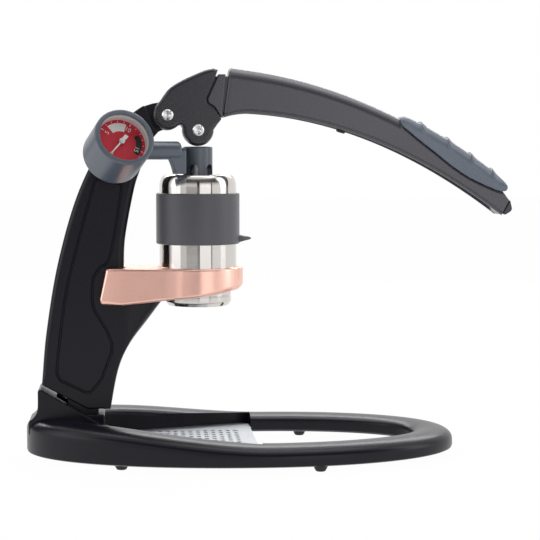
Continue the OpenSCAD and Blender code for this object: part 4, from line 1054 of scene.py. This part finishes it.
stem = [(0, STEM_LOW), (STEM_R, STEM_LOW)] + arc((STEM_R - 0.9, STEM_TOP - 0.9), 0.9, 0, 90, 5)
stem += [(0, STEM_TOP)]
manifold = solid("stem_moulding", turned(stem, 80), BREW)
tube_end = GAUGE_REACH - TUBE_START
tube = [(0, 0), (TUBE_R, 0)] + arc((TUBE_R - 2.2, tube_end - 2.2), 2.2, 0, 90, 7) + [(0, tube_end)]
join(manifold, turned(tube, 64), AT_TUBE @ ALONG_X)
WEB_Z = CYL_TOP + 0.6 - TUBE_Z
BRIDGE_H = 5.0
bridge = [(-22.0, -12.2), (-13.1, 0.5), (-8.6, 2.6), (-4.7, -1.5), (-9.4, -3.8), (-15.4, -13.2)]
join(manifold, plate(softened(bridge, 1.0), WEB_Z, WEB_Z + BRIDGE_H, 0.6, False), AT_STEM)
wall = [(-20.4, -12.1), (-17.1, -8.7), (-13.8, -9.6), (-10.6, -0.9), (-7.9, 1.8), (-4.7, -1.5),
        (-8.8, -4.0), (-14.6, -14.9)]
join(manifold, plate(softened(wall, 0.8), WEB_Z + 0.1, STEM_TOP - TUBE_Z - 1, 0.5, False), AT_STEM)
RIB_HALF = 3.5
rib = flowing([(-27.4, -2.2), (-25.8, -5.2), (-24.2, -8.7), (-23, -12.2), (-22.4, WEB_Z)], 3)
rib += [(-15.4, WEB_Z), (-15.4, 0), (-27.4, 0)]
join(manifold, plate(softened(rib, 0.9), -GAUGE_OFFSET - RIB_HALF, -GAUGE_OFFSET + RIB_HALF, 0.9), AT_STEM)
print("tube", round(tube_end, 1), "mm from the gauge's axis")

# %% [markdown]
# Four arched windows in the stem let water into the cylinder. The other openings are plain
# bores: for the piston's rod, for the round seat of the gauge and for its nipple.

# %% Openings of the stem
ROD_R, ROD_TOP, NIPPLE_R = 6.06, 194.1, 3.55
drill(manifold, ROD_R, STEM_LOW - 1, ROD_TOP, BREW)
WINDOW_HALF, WINDOW_TOP, WINDOW_FROM = 3.3, CYL_TOP + 6.7, 179.0
arch = [(-WINDOW_HALF, CYL_TOP - 3), (WINDOW_HALF, CYL_TOP - 3)]
arch += arc((0, WINDOW_TOP - WINDOW_HALF), WINDOW_HALF, 0, 180, 12)
for k in (1, 2, 3, 4):
    cut(manifold, cutter(softened(arch, 0.8, 0), -12, -3), BREW @ spin(WINDOW_FROM + 72 * k + 90, "Z"))
drill(manifold, CASE_R + 0.05, -40, 40, AT_GAUGE, 96)
drill(manifold, NIPPLE_R, -1, CASE_R + 12, AT_TUBE @ ALONG_X, 40)
dress(manifold, grey_nylon, "gauge", "grey_plastic", "stem_manifold", crease=35)

# %% [markdown]
# The gauge case is one turned cup with a lip. A pale ring stands between its dial and its
# window, which catches light and makes the dial look set back.

# %% Gauge case, ring and window
CASE_DEPTH, CASE_BORE = 29, 16.7
BACK, FRONT = -CASE_DEPTH / 3, CASE_DEPTH * 2 / 3
LENS_Z = FRONT - 2.7
DIAL_Z = LENS_Z - 6
FACE_Z = DIAL_Z + 0.8
case = [(0, BACK)] + arc((CASE_R - 2.4, BACK + 2.4), 2.4, -90, 0, 9)
case += arc((CASE_R - 1.2, FRONT - 1.2), 1.2, 0, 90, 7)
case += [(16.2, FRONT), (15.8, FRONT - 0.4), (15.8, FRONT - 1.2), (CASE_BORE, FRONT - 1.2),
         (CASE_BORE, BACK + 2), (0, BACK + 2)]
housing = solid("gauge_housing", turned(case, 128), AT_GAUGE)
drill(housing, NIPPLE_R, 0, 2 * CASE_R, AT_GAUGE @ ALONG_X, 40)
dress(housing, grey_nylon, "gauge", "grey_plastic", "gauge_case", crease=35)
snug = CASE_BORE - 0.05
liner = [(snug, FACE_Z), (snug, LENS_Z - 0.02), (15.9, LENS_Z - 0.02), (15.5, LENS_Z - 0.4), (15.5, FACE_Z)]
pale_ring = solid("gauge_liner", turned(liner, 128), AT_GAUGE)
dress(pale_ring, white_acetal, "gauge", "white_plastic", "gauge_ring")
window = [(0, LENS_Z), (snug, LENS_Z), (snug, LENS_Z + 1.35), (16.4, LENS_Z + 1.45), (0, LENS_Z + 1.45)]
dress(solid("gauge_window", turned(window, 96), AT_GAUGE), acrylic, "gauge", "clear_lens", "gauge_lens")

# %% [markdown]
# The dial runs from 0 to 16 over three quarters of a turn, clockwise from the lower left.
# Its marks are real ink: thin slabs just proud of the plate, so they keep their edges in any
# light. A pale band shows the brewing range and a black band the top of the scale.

# %% Dial plate and ink
INK = 0.05
SCALE_FIRST, SCALE_TURN, SCALE_TOP = 225.0, 270.0, 16.0
LONG_TICK, SHORT_TICK, TICK_END = (13.2, 0.25), (13.8, 0.17), 14.9


def scale_angle(value):
    return SCALE_FIRST - SCALE_TURN * value / SCALE_TOP


def ink_slab(outline):
    return skinned([[(x, y, z) for x, y in outline] for z in (FACE_Z - INK, FACE_Z + INK)])


def sector(low, high, inner, outer):
    a, b = scale_angle(high), scale_angle(low)
    return arc((0, 0), outer, a, b, 24) + arc((0, 0), inner, b, a, 24)


plate_shape = [(1.5, DIAL_Z), (CASE_BORE - 0.1, DIAL_Z), (CASE_BORE - 0.1, FACE_Z), (1.5, FACE_Z)]
dress(solid("dial_plate", turned(plate_shape, 96), AT_GAUGE), red_ink, "gauge", "red_dial", "gauge_dial")
marks = []
for value in range(int(SCALE_TOP) + 1):
    a = math.radians(scale_angle(value))
    inner, half = LONG_TICK if value % 5 == 0 else SHORT_TICK
    out = np.array([math.cos(a), math.sin(a)])
    side = np.array([-out[1], out[0]]) * half
    tick = [out * inner - side, out * TICK_END - side, out * TICK_END + side, out * inner + side]
    marks.append(ink_slab(tick))
dress(solid("dial_ticks", gathered(marks), AT_GAUGE), white_ink, "gauge", "white_needle")
dress(solid("brew_band", ink_slab(sector(6.0, 9.4, 7.6, 13.2)), AT_GAUGE), white_ink, "gauge", "white_needle")
dress(solid("top_band", ink_slab(sector(12, 16, 9.6, 13.4)), AT_GAUGE), black_ink, "gauge", "black_rubber")
print("dial marks", len(marks))

# %% [markdown]
# Numbers drawn as an image would blur when the gauge is seen close. As type with thickness they
# keep their edges, and each is turned to stand upright along its radius.

# %% Dial numbers
NUMBER_SIZE, NUMBER_R = 4.0, 10.4
for value in (0, 5, 10, 15):
    words = bpy.data.curves.new(f"number_{value}", "FONT")
    words.body = str(value)
    words.size = NUMBER_SIZE * MM
    words.extrude = INK * MM
    words.align_x, words.align_y = "CENTER", "CENTER"
    text = bpy.data.objects.new(f"number_{value}", words)
    scene.collection.objects.link(text)
    a = math.radians(scale_angle(value))
    spot = at(NUMBER_R * math.cos(a), NUMBER_R * math.sin(a), FACE_Z + INK)
    bpy.context.view_layer.update()
    mesh = bpy.data.meshes.new_from_object(text.evaluated_get(bpy.context.evaluated_depsgraph_get()))
    bpy.data.objects.remove(text, do_unlink=True)
    mesh.transform(AT_GAUGE @ spot @ Matrix.Rotation(a - math.pi / 2, 4, "Z"))
    figure = bpy.data.objects.new(f"dial_number_{value}", mesh)
    scene.collection.objects.link(figure)
    dress(figure, white_ink, "gauge", "white_needle")

# %% [markdown]
# The needle is a thin stamped hand with a broad tail that balances it, under a domed boss. It
# rests at zero, and it turns with its own body.

# %% Needle
NEEDLE_Z = FACE_Z + 1.2
a = math.radians(SCALE_FIRST)
pointer = [(-5.4, -1.3), (-1.6, -1.2), (-1.0, -0.6), (11.5, -0.35)]
pointer += [(x, -y) for x, y in pointer[::-1]]
pointer = [(x * math.cos(a) - y * math.sin(a), x * math.sin(a) + y * math.cos(a)) for x, y in pointer]
hand = plate(softened(pointer, 0.35, 1), NEEDLE_Z, NEEDLE_Z + 0.8, 0.15, False, 2)
dress(solid("needle_hand", hand, AT_GAUGE), white_ink, "needle", "white_needle", "gauge_needle")
boss = [(r, NEEDLE_Z + z) for r, z in ((0, 0.5), (1.9, 0.5), (1.8, 1.2), (1.2, 1.6), (0, 1.7))]
dress(solid("needle_boss", turned(boss, 48), AT_GAUGE), white_acetal, "needle", "white_needle")

# %% [markdown]
# ## Pieces that keep their solids
# Screws, seals, the piston, the inside of the gauge, the tray and the perforated parts are
# already true to shape. They only take the finish that the real ones have.

# %% Finishes for the kept solids
KEPT = {
    satin_steel: ["bracket_screws", "arm_screws", "piston_rod", "needle_arbor"],
    brushed_steel: ["drip_grate", "filter_basket", "shower_screen"],
    yellow_brass: ["pivot_bush", "gauge_socket", "bourdon_tube", "gauge_movement"],
    black_rubber: ["piston_o_rings", "cylinder_gasket"],
    black_abs: ["post_thumbscrew", "drip_tray", "piston"],
    white_acetal: ["pivot_washers"],
}
for coat, names in KEPT.items():
    for name in names:
        nodes[name].data.materials.clear()
        nodes[name].data.materials.append(coat)
print("kept", sum(len(names) for names in KEPT.values()), "solids")
